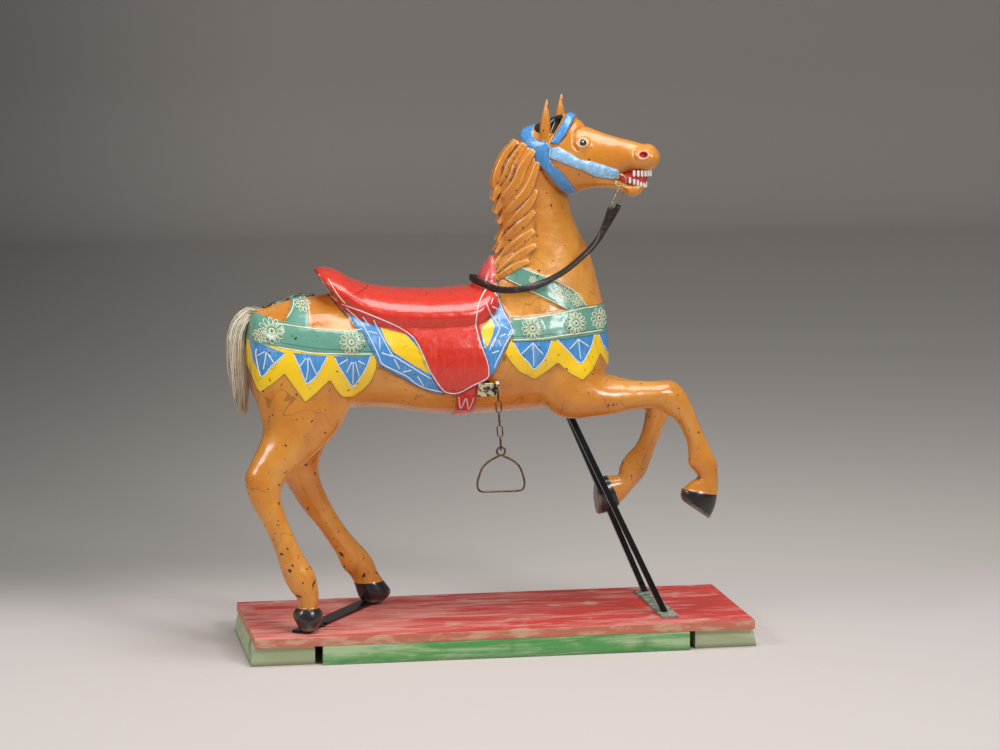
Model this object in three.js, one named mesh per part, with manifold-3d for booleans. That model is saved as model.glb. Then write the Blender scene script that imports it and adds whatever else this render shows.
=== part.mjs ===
// Carousel horse, carved and painted, on its travelling stand.
// Frame: millimetres, +Z up, +X towards the head, +Y to the horse's left. The bounding box's
// bottom centre is the origin, and the horse is drawn in the frame of its base plank.
import * as THREE from 'three';
import { mergeVertices } from 'three/addons/utils/BufferGeometryUtils.js';
import Module from 'manifold-3d';

const wasm = await Module();
wasm.setup();

// ---------------------------------------------------------------- driving dimensions (mm)
const GAP = 0.3;                  // clearance between pieces that touch
const PLANK = { length: 1100, width: 390, thickness: 20, top: 62 };
const BATTEN = { length: 131, slant: 8, inset: 16 };
const BOARD = { length: 807, thickness: 18 };
const STEEL = 6;                  // thickness of the flat iron on the plank
const FOOT_PLATE = { x: 371, width: 37, length: 288 };
const STAY = { top: [156, 12, 532], foot: [370, 110, 68], width: 14, thickness: 14, skew: [3, 8] };
const HOOF_BAR = { from: [-449, -150], to: [-252, 146], width: 36 };
const HEAD_TURN = 26;             // degrees towards the horse's right
const POLL_X = 100;               // the head turns on an upright line through here
const SADDLE_RISE = 9;            // carved saddle flap above the flank
const CLOTH_RISE = 5;
const HARNESS_RISE = 3.5;
const BRIDLE_RISE = 3;
const CHAIN = { top: [-13, -133, 581.5], bottom: [-5, -131, 446.4], links: 5, wire: 1.6, half: 5.8 };
const STIRRUP = { x: -5, y: -131, bottom: 355, neck: 437, half: 52, wire: 2.3, eye: 9 };
const BIT_RING = { along: 294, out: 35, z: 1024.5, radius: 13, wire: 2 };
const HOOK = { drop: [-16.5, 0, -35.5], half: 4.5, wire: 1.3 };
const REIN = { width: 15, thickness: 3.6 };

// ---------------------------------------------------------------- solids and joins
const solidOf = (geometry) => {
  const bare = new THREE.BufferGeometry().setAttribute('position',
    (geometry.index ? geometry.toNonIndexed() : geometry).getAttribute('position'));
  const merged = mergeVertices(bare, 1e-3);
  return new wasm.Manifold(new wasm.Mesh({
    numProp: 3,
    vertProperties: new Float32Array(merged.attributes.position.array),
    triVerts: new Uint32Array(merged.index.array),
  }));
};

const geometryOf = (solid) => {
  const { vertProperties, triVerts, numProp } = solid.getMesh();
  const position = new Float32Array((vertProperties.length / numProp) * 3);
  for (let i = 0; i < position.length / 3; i++) {
    for (let k = 0; k < 3; k++) position[3 * i + k] = vertProperties[i * numProp + k];
  }
  const geometry = new THREE.BufferGeometry();
  geometry.setAttribute('position', new THREE.BufferAttribute(position, 3));
  geometry.setIndex(new THREE.BufferAttribute(new Uint32Array(triVerts), 1));
  return geometry;
};

const join = (...solids) => solids.flat().reduce((all, one) => all.add(one));

// The outer skin alone, with any hollow left between joined forms filled.
const filled = (solid) => solid.decompose().reduce((a, b) => (b.volume() > a.volume() ? b : a));

// Catmull-Rom through rows of numbers, at parameter t from 0 to rows.length - 1.
const blendRows = (rows, t) => {
  const last = rows.length - 1;
  const i = Math.min(Math.floor(t), last - 1);
  const f = t - i;
  const [p0, p1, p2, p3] = [rows[Math.max(i - 1, 0)], rows[i], rows[i + 1],
    rows[Math.min(i + 2, last)]];
  return p1.map((b, k) => {
    const [a, c, d] = [p0[k], p2[k], p3[k]];
    return 0.5 * (2 * b + (c - a) * f + (2 * a - 5 * b + 4 * c - d) * f * f
      + (3 * b - a - 3 * c + d) * f * f * f);
  });
};

// A closed body through sections. Each row is [ax, az, bx, bz, halfWidth, y]: the section's
// two outline points in the side view, half its width and the place of its middle across.
const limb = (rows, sides, perRow, { swell = 0, square = 2 } = {}) => {
  const rings = [];
  const steps = (rows.length - 1) * perRow;
  for (let s = 0; s <= steps; s++) {
    const [ax, az, bx, bz, w, y] = blendRows(rows, s / perRow);
    const [mx, mz] = [(ax + bx) / 2, (az + bz) / 2];
    const half = Math.hypot(ax - bx, az - bz) / 2;
    const grow = (half + swell) / half;
    const ring = [];
    for (let k = 0; k < sides; k++) {
      const angle = (2 * Math.PI * (k + 0.5)) / sides;
      const c = Math.sign(Math.cos(angle)) * Math.abs(Math.cos(angle)) ** (2 / square);
      const n = Math.sign(Math.sin(angle)) * Math.abs(Math.sin(angle)) ** (2 / square);
      ring.push([mx + ((ax - bx) / 2) * grow * c, y + (w + swell) * n,
        mz + ((az - bz) / 2) * grow * c]);
    }
    rings.push(ring);
  }
  return skin(rings);
};

// Rings of equal count joined side by side, with a flat fan over each end.
const skin = (rings, closed = false) => {
  const sides = rings[0].length;
  const points = rings.flat();
  const faces = [];
  for (let r = 0; r < rings.length - (closed ? 0 : 1); r++) {
    const next = (r + 1) % rings.length;
    for (let k = 0; k < sides; k++) {
      const [a, b] = [r * sides + k, r * sides + ((k + 1) % sides)];
      const [c, d] = [next * sides + k, next * sides + ((k + 1) % sides)];
      faces.push(a, c, b, b, c, d);
    }
  }
  if (!closed) {
    const middle = (ring) => [0, 1, 2].map((k) => ring.reduce((m, p) => m + p[k], 0) / sides);
    const first = points.push(middle(rings[0])) - 1;
    const end = points.push(middle(rings.at(-1))) - 1;
    const lastRing = (rings.length - 1) * sides;
    for (let k = 0; k < sides; k++) {
      const next = (k + 1) % sides;
      faces.push(first, k, next, end, lastRing + next, lastRing + k);
    }
  }
  const geometry = new THREE.BufferGeometry();
  geometry.setAttribute('position', new THREE.Float32BufferAttribute(points.flat(), 3));
  geometry.setIndex(faces);
  const solid = solidOf(geometry);
  if (solid.volume() >= 0) return solid;
  for (let i = 0; i < faces.length; i += 3) [faces[i + 1], faces[i + 2]] = [faces[i + 2], faces[i + 1]];
  geometry.setIndex(faces);
  return solidOf(geometry);
};

// ---------------------------------------------------------------- the horse's body and limbs
// Rows of [ax, az, bx, bz, halfWidth, y], read from the side.
const TORSO = [
  [-540, 690, -540, 620, 26, 0],
  [-526, 742, -530, 560, 70, 0],
  [-500, 752, -505, 530, 96, 0],
  [-460, 766, -465, 508, 116, 0],
  [-415, 774, -415, 505, 125, 0],
  [-365, 778, -365, 520, 127, 0],
  [-310, 776, -310, 528, 124, 0],
  [-240, 770, -240, 527, 121, 0],
  [-170, 766, -170, 516, 124, 0],
  [-90, 766, -90, 510, 127, 0],
  [-10, 770, -10, 510, 126, 0],
  [60, 785, 60, 514, 121, 0],
  [130, 795, 130, 516, 116, 0],
  [188, 790, 185, 518, 104, 0],
  [228, 765, 222, 530, 82, 0],
  [246, 720, 244, 555, 54, 0],
  [254, 655, 254, 600, 24, 0],
];
const NECK = [
  [205, 620, -50, 730, 88, 0],
  [234, 735, -25, 785, 86, 0],
  [232, 800, -2, 822, 74, 0],
  [215, 862, 14, 860, 63, 0],
  [191, 910, 20, 905, 56, 0],
  [174, 955, 16, 960, 51, 0],
  [166, 992, 12, 1015, 47, 0],
  [160, 1025, 26, 1062, 44, 0],
  [150, 1050, 50, 1100, 38, 0],
];
const HIND_RIGHT = [
  [-345, 700, -505, 700, 40, 55],
  [-328, 640, -520, 640, 56, 68],
  [-325, 560, -529, 578, 60, 70],
  [-344, 505, -519, 520, 55, 76],
  [-376, 468, -517, 486, 47, 84],
  [-420, 432, -531, 455, 39, 94],
  [-455, 405, -546, 426, 33, 102],
  [-474, 384, -558, 400, 29, 108],
  [-483, 355, -553, 362, 27, 113],
  [-475, 320, -538, 325, 25, 118],
  [-462, 285, -518, 288, 23, 122],
  [-447, 250, -501, 250, 22, 126],
  [-430, 218, -489, 210, 23, 130],
  [-414, 192, -480, 182, 25, 133],
  [-407, 162, -466, 155, 25, 135],
  [-406, 138, -453, 138, 22, 137],
  [-408, 112, -448, 114, 21, 138],
];
const HIND_LEFT = [
  [-345, 700, -505, 700, 40, 55],
  [-328, 640, -520, 640, 56, 68],
  [-315, 548, -524, 575, 60, 70],
  [-330, 470, -504, 500, 52, 78],
  [-363, 425, -488, 450, 42, 88],
  [-374, 388, -470, 412, 33, 96],
  [-370, 350, -455, 368, 29, 102],
  [-357, 318, -433, 324, 26, 106],
  [-340, 284, -407, 283, 23, 110],
  [-321, 252, -379, 248, 23, 114],
  [-297, 219, -353, 210, 24, 117],
  [-268, 186, -333, 177, 26, 120],
  [-250, 160, -319, 147, 26, 122],
  [-240, 136, -301, 127, 24, 124],
  [-228, 116, -292, 108, 24, 125],
];
const FORE_RIGHT = [
  [190, 680, 105, 650, 36, 48],
  [215, 640, 92, 590, 50, 62],
  [228, 602, 104, 532, 52, 68],
  [246, 590, 150, 503, 47, 74],
  [292, 583, 240, 508, 40, 80],
  [342, 581, 298, 520, 35, 84],
  [380, 582, 346, 519, 33, 87],
  [403, 570, 373, 506, 31, 88],
  [419, 545, 397, 488, 28, 89],
  [433, 515, 411, 463, 24, 90],
  [451, 472, 419, 440, 20, 91],
  [468, 436, 422, 412, 19, 92],
  [485, 398, 422, 394, 21, 93],
  [487, 372, 443, 366, 20, 93],
  [489, 348, 425, 354, 21, 93],
  [486, 324, 410, 340, 24, 93],
];
const FORE_LEFT = [
  [190, 680, 105, 650, 36, 48],
  [215, 640, 92, 590, 50, 60],
  [232, 602, 100, 528, 51, 66],
  [275, 578, 200, 498, 44, 72],
  [330, 562, 285, 494, 37, 76],
  [388, 552, 335, 492, 34, 80],
  [424, 532, 362, 492, 31, 82],
  [424, 498, 363, 474, 27, 83],
  [408, 456, 356, 440, 23, 84],
  [393, 420, 343, 410, 20, 85],
  [380, 384, 320, 387, 21, 85],
  [365, 346, 305, 362, 22, 85],
  [338, 314, 303, 344, 20, 85],
  [305, 278, 276, 343, 24, 85],
];
const HOOVES = {
  fore_right: [[487, 326, 407, 342, 26, -93], [483, 300, 404, 327, 28, -93],
    [469, 272, 408, 315, 29, -93]],
  fore_left: [[306, 275, 276, 344, 25, 85], [284, 262, 260, 340, 28, 85],
    [253, 256, 250, 331, 29, 85]],
  hind_right: [[-406, 116, -453, 116, 23, -139], [-396, 102, -463, 102, 27, -141],
    [-401, 86, -457, 86, 27, -143], [-412, 68.5, -447, 68.5, 25, -144]],
  hind_left: [[-227, 115, -293, 112, 26, 125], [-211, 92, -288, 92, 30, 125],
    [-216, 78, -282, 78, 29, 125], [-228, 68.5, -274, 68.5, 26, 125]],
};
// The head is drawn before it turns, so that its own middle lies in the plane y = 0.
const HEAD = [
  [58, 1108, 106, 1046, 26, 0],
  [68, 1128, 126, 1018, 40, 0],
  [95, 1140, 150, 1000, 49, 0],
  [135, 1158, 174, 993, 52, 0],
  [168, 1166, 200, 998, 50, 0],
  [188, 1157, 218, 1004, 46, 0],
  [206, 1141, 238, 1009, 43, 0],
  [240, 1127, 258, 1012, 37, 0],
  [275, 1117, 280, 1020, 32, 0],
  [305, 1110, 305, 1042, 29, 0],
  [332, 1103, 330, 1044, 30, 0],
  [352, 1102, 352, 1045, 31, 0],
  [366, 1091, 366, 1054, 26, 0],
  [373, 1077, 373, 1067, 12, 0],
];
const JAW = [
  [200, 1060, 205, 1005, 30, 0],
  [240, 1044, 240, 1006, 30, 0],
  [275, 1034, 275, 1004, 27, 0],
  [300, 1018, 294, 999, 23, 0],
  [315, 1017, 308, 988, 23, 0],
  [330, 1018, 326, 991, 21, 0],
  [340, 1017, 338, 1005, 11, 0],
];
const EAR = [
  [-11, 1108, 11, 1108, 9, 0],
  [-13, 1132, 12, 1130, 11, 0],
  [-10, 1156, 12, 1153, 9, 0],
  [-5, 1177, 9, 1177, 6, 0],
  [1, 1198, 4, 1198, 1.5, 0],
];
const EARS = { right: [128, -38, 0], left: [141, 38, 8] };
const EYE = { x: 212, y: 41, z: 1106, r: 9 };
const NOSTRIL = { x: 343, y: 31, z: 1081, r: 9 };

// Carved locks of the mane on the right side: [x, z, halfWidth] along each lock.
const LOCKS = [
  [[52, 1106, 8], [30, 1078, 12], [13, 1046, 12], [2, 1018, 8], [0, 1002, 3]],
  [[66, 1101, 9], [40, 1062, 13], [26, 1028, 13], [8, 998, 10], [-2, 976, 4]],
  [[84, 1088, 9], [60, 1050, 13], [46, 1016, 14], [22, 982, 12], [3, 948, 5]],
  [[92, 1062, 8], [80, 1026, 11], [66, 996, 13], [40, 966, 12], [10, 926, 5]],
  [[88, 1002, 7], [74, 974, 11], [50, 946, 12], [26, 914, 9], [8, 886, 4]],
  [[84, 956, 7], [62, 932, 12], [38, 908, 12], [18, 882, 8], [3, 862, 4]],
  [[82, 914, 8], [60, 896, 13], [36, 874, 13], [12, 848, 9], [-4, 832, 4]],
  [[86, 882, 7], [62, 868, 11], [34, 846, 12], [8, 820, 9], [-14, 806, 4]],
  [[70, 848, 7], [46, 838, 10], [22, 822, 10], [0, 806, 6]],
];
const SEAT = [
  [-394, 831, -352, 775, 84, 0],
  [-374, 837, -332, 740, 97, 0],
  [-346, 831, -300, 705, 105, 0],
  [-305, 809, -270, 690, 110, 0],
  [-250, 794, -240, 680, 114, 0],
  [-150, 786, -150, 680, 118, 0],
  [-60, 790, -60, 680, 116, 0],
  [-22, 800, -30, 700, 104, 0],
  [0, 800, -8, 720, 88, 0],
];
const POMMEL = [
  [14, 790, -40, 790, 46, 0],
  [10, 820, -30, 818, 38, 0],
  [6, 845, -14, 843, 26, 0],
  [2, 856, -6, 855, 14, 0],
];

// Outlines in the side view, closed: each is cut out of the swollen body as low relief.
const FLAP = [[-345, 785], [-337, 762], [-267, 740], [-203, 704], [-184, 681], [-169, 647],
  [-154, 607], [-135, 578], [-118, 567], [-95, 566], [-66, 583], [-31, 600], [-27, 607],
  [-33, 637], [-46, 676], [-53, 716], [-51, 755], [-40, 777], [-15, 800], [-150, 860]];
const CLOTH = [[-350, 775], [-341, 762], [-316, 718], [-301, 705], [-272, 642], [-267, 635],
  [-218, 607], [-184, 586], [-140, 568], [-95, 575], [-60, 590], [-22, 611], [-12, 627], [3, 661],
  [18, 691], [27, 706], [10, 743], [-8, 779], [-21, 805], [-150, 840]];
const GIRTH = [[-98, 575], [-92, 480], [-52, 480], [-56, 590]];
const RUMP_BAND = [[-560, 745], [-516, 742], [-475, 731], [-413, 717], [-354, 711], [-310, 713],
  [-276, 660], [-315, 655], [-394, 665], [-453, 675], [-508, 682], [-560, 688]];
const HIP_STRAP = [[-468, 725], [-447, 766], [-440, 820], [-410, 820], [-414, 775], [-418, 712]];
const BREAST_BAND = [[22, 729], [79, 732], [139, 741], [181, 748], [232, 749], [300, 747],
  [300, 692], [239, 690], [160, 685], [119, 681], [22, 680]];
const SHOULDER_STRAP = [[51, 838], [95, 818], [125, 804], [148, 790], [172, 780], [196, 745],
  [144, 745], [101, 769], [58, 791], [15, 812]];
const CROWN_STRAP = [[60, 1118], [70, 1140], [92, 1150], [98, 1116], [118, 1107], [132, 1107],
  [146, 1090], [141, 1071], [148, 1055], [163, 1045], [180, 1023], [197, 985], [170, 985],
  [132, 1039], [112, 1061], [87, 1094]];
const CHEEK_STRAP = [[141, 1092], [158, 1096], [190, 1080], [210, 1068], [230, 1065],
  [265, 1055], [290, 1046], [290, 1027], [272, 1027], [238, 1032], [213, 1045], [139, 1073]];
const BROW_BAND = [[143, 1104], [153, 1124], [166, 1150], [172, 1180], [188, 1180], [184, 1145],
  [172, 1119], [160, 1102]];
// Carved rosettes on the harness: [x, z, radius].
const ROSETTES = [[-329, 688, 24], [-496, 712, 24], [67, 707, 23], [166, 714, 24]];

const onRight = (rows) => rows.map((r) => [...r.slice(0, 5), -r[5]]);
const moved = (rows, dx, dy, dz) => rows.map(([a, b, c, d, w, y]) =>
  [a + dx, b + dz, c + dx, d + dz, w, y + dy]);
const turnHead = (solid) => solid.translate([-POLL_X, 0, 0]).rotate([0, 0, -HEAD_TURN])
  .translate([POLL_X, 0, 0]);

// A side-view outline as a slab across the whole horse.
const REACH = 260;
const slab = (outline) => {
  const shape = new THREE.Shape(outline.map(([x, z]) => new THREE.Vector2(x, z)));
  return solidOf(new THREE.ExtrudeGeometry(shape, { depth: 2 * REACH, bevelEnabled: false })
    .rotateX(Math.PI / 2).translate(0, REACH, 0));
};

// Half the trunk's width at a place on its side.
const flankAt = (x, z, rows = TORSO) => {
  let t = 0;
  while (t < rows.length - 1.05 && blendRows(rows, t)[0] < x) t += 0.05;
  const [, top, , bottom, w] = blendRows(rows, t);
  return w * Math.sqrt(Math.max(0.04, 1 - ((2 * z - top - bottom) / (top - bottom)) ** 2));
};

// How far out the neck's side is at a place on it.
const neckAt = (x, z) => {
  let t = 0;
  while (t < NECK.length - 1.05 && blendRows(NECK, t)[3] < z) t += 0.05;
  const [front, , back, , w] = blendRows(NECK, t);
  return w * Math.sqrt(Math.max(0.1, 1 - ((2 * x - front - back) / (front - back)) ** 2));
};

const manelock = (points) => {
  const rings = [];
  const SIDES = 5;
  const DEPTH = 10;
  points.forEach(([x, z, half], i) => {
    const before = points[Math.max(i - 1, 0)];
    const after = points[Math.min(i + 1, points.length - 1)];
    const length = Math.hypot(after[0] - before[0], after[1] - before[1]);
    const across = [-(after[1] - before[1]) / length, (after[0] - before[0]) / length];
    const out = -neckAt(x, z);
    rings.push(Array.from({ length: SIDES }, (_, k) => {
      const angle = (2 * Math.PI * k) / SIDES;
      const side = half * Math.cos(angle);
      return [x + across[0] * side, out - Math.min(DEPTH, half) * Math.sin(angle), z + across[1] * side];
    }));
  });
  return skin(rings);
};

// A carved disc standing square to the flank.
const rosette = ([x, z, radius], side) => {
  const STEP = 4;
  const slope = [flankAt(x + STEP, z) - flankAt(x - STEP, z), flankAt(x, z + STEP) - flankAt(x, z - STEP)]
    .map((d) => d / (2 * STEP));
  const normal = new THREE.Vector3(-slope[0], side, -slope[1]).normalize();
  const DISC = 30;
  const geometry = new THREE.CylinderGeometry(radius - 3, radius, DISC, 8)
    .translate(0, HARNESS_RISE + 3.5 - DISC / 2, 0)
    .applyQuaternion(new THREE.Quaternion().setFromUnitVectors(new THREE.Vector3(0, 1, 0), normal))
    .translate(x, side * flankAt(x, z), z);
  return solidOf(geometry);
};

const ball = (x, y, z, r) =>
  solidOf(new THREE.SphereGeometry(r, 7, 5).translate(x, y, z));

const legSides = 9;
const legs = (swell) => [limb(onRight(HIND_RIGHT), legSides, 1, { swell }),
  limb(HIND_LEFT, legSides, 1, { swell }), limb(onRight(FORE_RIGHT), legSides, 1, { swell }),
  limb(FORE_LEFT, legSides, 1, { swell })];
const trunk = (swell) => [limb(TORSO, 18, 1, { swell }), limb(NECK, 14, 1, { swell })];
const relief = (swell, ...outlines) => join(trunk(swell), legs(swell))
  .intersect(join(outlines.map(slab)));

const skull = (swell) => [limb(HEAD, 12, 1, { swell }), limb(JAW, 8, 1, { swell })];
const ears = Object.values(EARS).map(([x, y, dz]) => limb(moved(EAR, x, y, dz), 6, 1));
const head = turnHead(join(skull(0), ears,
  join(skull(BRIDLE_RISE)).intersect(join([CROWN_STRAP, CHEEK_STRAP, BROW_BAND].map(slab))),
  [-1, 1].map((side) => ball(EYE.x, side * (EYE.y - 3), EYE.z, EYE.r)))
  .subtract(join([-1, 1].map((side) => ball(NOSTRIL.x, side * NOSTRIL.y, NOSTRIL.z, NOSTRIL.r)))));

const hooves = Object.values(HOOVES).map((rows) => limb(rows, 8, 1));
const horseSolid = join(trunk(0), legs(0), head, hooves, LOCKS.map(manelock),
  relief(HARNESS_RISE, RUMP_BAND, HIP_STRAP, BREAST_BAND, SHOULDER_STRAP, GIRTH),
  relief(CLOTH_RISE, CLOTH), relief(SADDLE_RISE, FLAP), limb(SEAT, 12, 1), limb(POMMEL, 8, 1),
  ROSETTES.flatMap((spot) => [rosette(spot, -1), rosette(spot, 1)]));


// ---------------------------------------------------------------- tail, tack and stand
const vector = (p) => new THREE.Vector3(...p);

// Rows for limb() along a centre line of [x, z, radius].
const rope = (points, y = 0, flat = 1) => points.map(([x, z, r], i) => {
  const [before, after] = [points[Math.max(i - 1, 0)], points[Math.min(i + 1, points.length - 1)]];
  const length = Math.hypot(after[0] - before[0], after[1] - before[1]);
  const [ux, uz] = [((after[1] - before[1]) / length) * r, (-(after[0] - before[0]) / length) * r];
  return [x + ux, z + uz, x - ux, z - uz, r * flat, y];
});

const TAIL = [[-500, 736, 13], [-530, 742, 17], [-552, 722, 20], [-563, 690, 21], [-563, 650, 20],
  [-560, 610, 19], [-556, 570, 16], [-552, 540, 11], [-551, 520, 5]];
const tail = limb(rope(TAIL), 8, 1);
const tailSocket = limb(rope([[-497, 735, 13], ...TAIL.slice(0, 4)]), 8, 1, { swell: GAP });

// A closed wire round a flat path of points; `flat` is the direction its plane faces.
const wireLoop = (points, flat, radius, sides = 6) => skin(points.map((point, i) => {
  const along = points[(i + 1) % points.length].clone().sub(points.at(i - 1)).normalize();
  const out = new THREE.Vector3().crossVectors(along, flat);
  return Array.from({ length: sides }, (_, k) => {
    const angle = (2 * Math.PI * k) / sides;
    return point.clone().addScaledVector(out, radius * Math.cos(angle))
      .addScaledVector(flat, radius * Math.sin(angle)).toArray();
  });
}), true);

// A long link: two half rounds of the given half width between two centres.
const linkPath = (top, bottom, across, half, perEnd = 5) => {
  const down = bottom.clone().sub(top).normalize();
  const arc = (centre, turn) => Array.from({ length: perEnd }, (_, k) => {
    const angle = turn + (Math.PI * k) / (perEnd - 1);
    return centre.clone().addScaledVector(across, half * Math.cos(angle))
      .addScaledVector(down, half * Math.sin(angle));
  });
  return [...arc(bottom, 0), ...arc(top, Math.PI)];
};

// A place on the turned head, from a place before it turned.
const onHead = (x, y, z) => {
  const turn = THREE.MathUtils.degToRad(HEAD_TURN);
  return new THREE.Vector3(POLL_X + (x - POLL_X) * Math.cos(turn) + y * Math.sin(turn),
    y * Math.cos(turn) - (x - POLL_X) * Math.sin(turn), z);
};
const headOut = onHead(POLL_X, 1, 0).sub(onHead(POLL_X, 0, 0));
const headAlong = onHead(POLL_X + 1, 0, 0).sub(onHead(POLL_X, 0, 0));
const bitAt = (side) => onHead(BIT_RING.along, side * BIT_RING.out, BIT_RING.z);
const bitRing = (side) => wireLoop(Array.from({ length: 10 }, (_, k) => {
  const angle = (2 * Math.PI * k) / 10;
  return bitAt(side).addScaledVector(headAlong, BIT_RING.radius * Math.cos(angle))
    .add(new THREE.Vector3(0, 0, BIT_RING.radius * Math.sin(angle)));
}), headOut, BIT_RING.wire, 5);
const hookTop = (side) => bitAt(side).add(new THREE.Vector3(0, 0, -BIT_RING.radius));
const hookEnd = (side) => hookTop(side).add(vector(HOOK.drop));
const snapHook = (side) => {
  const down = vector(HOOK.drop).normalize();
  const facing = new THREE.Vector3().crossVectors(down, headOut).normalize();
  const across = new THREE.Vector3().crossVectors(facing, down);
  return wireLoop(linkPath(hookTop(side), hookEnd(side), across, HOOK.half), facing, HOOK.wire, 5);
};

// The rein: one strap from bit to bit, round the back of the pommel horn.
const REIN_PATH = [[242, -112, 967], [238, -112, 958], [231, -111, 936], [218, -109, 906],
  [198, -105, 879], [172, -99, 853], [142, -93, 828], [112, -89, 811], [83, -88, 799],
  [53, -88, 791], [23, -84, 788], [-4, -76, 790], [-24, -66, 798], [-39, -46, 803], [-46, -22, 806],
  [-48, 0, 808], [-46, 22, 806], [-39, 46, 803], [-24, 66, 798], [-4, 76, 790], [23, 84, 788],
  [53, 89, 790], [84, 91, 795], [118, 91, 801], [150, 88, 810], [180, 80, 825], [205, 64, 841],
  [221, 44, 855], [229, 20, 870], [236, -6, 891], [247, -29, 915], [259, -45, 942],
  [268, -53, 961], [270, -54, 967]];
const reinPath = new THREE.CatmullRomCurve3(REIN_PATH.map(vector));
// The strap's face looks away from the neck, and to the back behind the pommel.
reinPath.computeFrenetFrames = (steps) => {
  const frames = { tangents: [], normals: [], binormals: [] };
  for (let i = 0; i <= steps; i++) {
    const tangent = reinPath.getTangentAt(i / steps);
    const at = reinPath.getPointAt(i / steps);
    const away = new THREE.Vector3(Math.min(at.x, 0) / 40, THREE.MathUtils.clamp(at.y / 40, -1, 1), 0);
    if (at.x > 170) away.set(0.35, -1, 0).lerp(new THREE.Vector3(0, 1, 0), at.y > 0 ? at.y / 80 : 0);
    if (at.x > 170 && i > steps / 2) away.set(0.9, 0.45, 0);
    away.addScaledVector(tangent, -away.dot(tangent)).normalize();
    frames.tangents.push(tangent);
    frames.normals.push(away);
    frames.binormals.push(new THREE.Vector3().crossVectors(tangent, away));
  }
  return frames;
};
const reinSection = () => {
  const [t, w] = [REIN.thickness / 2, REIN.width / 2];
  const corners = [[t, w - 1], [t, 1 - w], [t - 1, -w], [1 - t, -w], [-t, 1 - w], [-t, w - 1],
    [1 - t, w], [t - 1, w]];
  return new THREE.Shape(corners.map(([x, y]) => new THREE.Vector2(x, y)));
};
const rein = solidOf(new THREE.ExtrudeGeometry(reinSection(),
  { steps: 24, extrudePath: reinPath, bevelEnabled: false, curveSegments: 1 }));

// Stirrup: an eye at the top, two bowed arms and a flat tread, from one wire.
const stirrup = () => {
  const { x, y, bottom, neck, half, wire, eye } = STIRRUP;
  const arm = [[4, neck - 4], [24, neck - 14], [40, neck - 28], [half - 3, neck - 50],
    [half, neck - 66], [half - 5, bottom + 3], [half - 18, bottom]];
  const bow = [...arm.map(([dx, z]) => [x + dx, z]), ...arm.map(([dx, z]) => [x - dx, z]).reverse()];
  const round = Array.from({ length: 8 }, (_, k) => {
    const angle = (2 * Math.PI * (k + 0.5)) / 8;
    return [x + eye * Math.cos(angle), neck + eye - 3 + eye * Math.sin(angle)];
  });
  const flat = new THREE.Vector3(0, 1, 0);
  const loop = (path) => wireLoop(path.map(([u, w]) => new THREE.Vector3(u, y, w)), flat, wire, 5);
  return join(loop(bow), loop(round));
};

// The stirrup chain is one node: its links cross each other at their ends.
const chain = () => {
  const [top, bottom] = [vector(CHAIN.top), vector(CHAIN.bottom)];
  const at = (k) => top.clone().lerp(bottom, k / CHAIN.links);
  return join(Array.from({ length: CHAIN.links }, (_, k) => {
    const across = k % 2 ? new THREE.Vector3(1, 0, 0) : new THREE.Vector3(0, 1, 0);
    const facing = k % 2 ? new THREE.Vector3(0, 1, 0) : new THREE.Vector3(1, 0, 0);
    const reach = CHAIN.half - 0.6 * CHAIN.wire;
    const [from, to] = [at(k), at(k + 1)].map((end) => end.clone().add(
      at(k + 0.5).sub(end).setLength(reach)));
    return wireLoop(linkPath(from, to, across, CHAIN.half, 3),
      facing, CHAIN.wire, 4);
  }));
};

// Iron staple plate on the belly, square to the flank, with the eye that the chain hangs from.
const staplePlate = () => {
  const facing = new THREE.Quaternion().setFromEuler(new THREE.Euler(THREE.MathUtils.degToRad(28), 0, 0));
  const box = new THREE.BoxGeometry(46, 3, 34).applyQuaternion(facing).translate(-31, -122.5, 577);
  const eye = new THREE.BoxGeometry(7, 14, 6).applyQuaternion(facing).translate(-13, -130, 590);
  return solidOf(box).add(solidOf(eye));
};

const stayRing = ([x, y, z], side, grow = 0) => {
  const [t, w] = [STAY.thickness / 2 + grow, STAY.width / 2 + grow];
  return [[x - t, side * y - w, z], [x + t, side * y - w, z], [x + t, side * y + w, z],
    [x - t, side * y + w, z]];
};
const stay = (side, grow = 0) => {
  const [x, y, z] = STAY.foot;
  const foot = [x + side * STAY.skew[0], y + side * STAY.skew[1], z + GAP];
  const along = (k) => STAY.top.map((v, i) => v + (foot[i] - v) * k);
  const beyond = grow ? 0.005 : 0;   // a socket runs on past the bar's end
  return skin([stayRing(along(-beyond), side, grow), stayRing(along(1 + beyond), side, grow)]);
};
const staySockets = join(stay(-1, GAP), stay(1, GAP));

const bolt = (x, y, z, radius = 6, height = 4.5) => new THREE.CylinderGeometry(radius, radius, height, 6)
  .rotateX(Math.PI / 2).translate(x, y, z + height / 2 + GAP);

const hoofBar = () => {
  const [from, to] = [HOOF_BAR.from, HOOF_BAR.to];
  const length = Math.hypot(to[0] - from[0], to[1] - from[1]);
  return new THREE.BoxGeometry(length, HOOF_BAR.width, STEEL)
    .rotateZ(Math.atan2(to[1] - from[1], to[0] - from[0]))
    .translate((from[0] + to[0]) / 2, (from[1] + to[1]) / 2, PLANK.top + STEEL / 2 + GAP);
};

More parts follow.
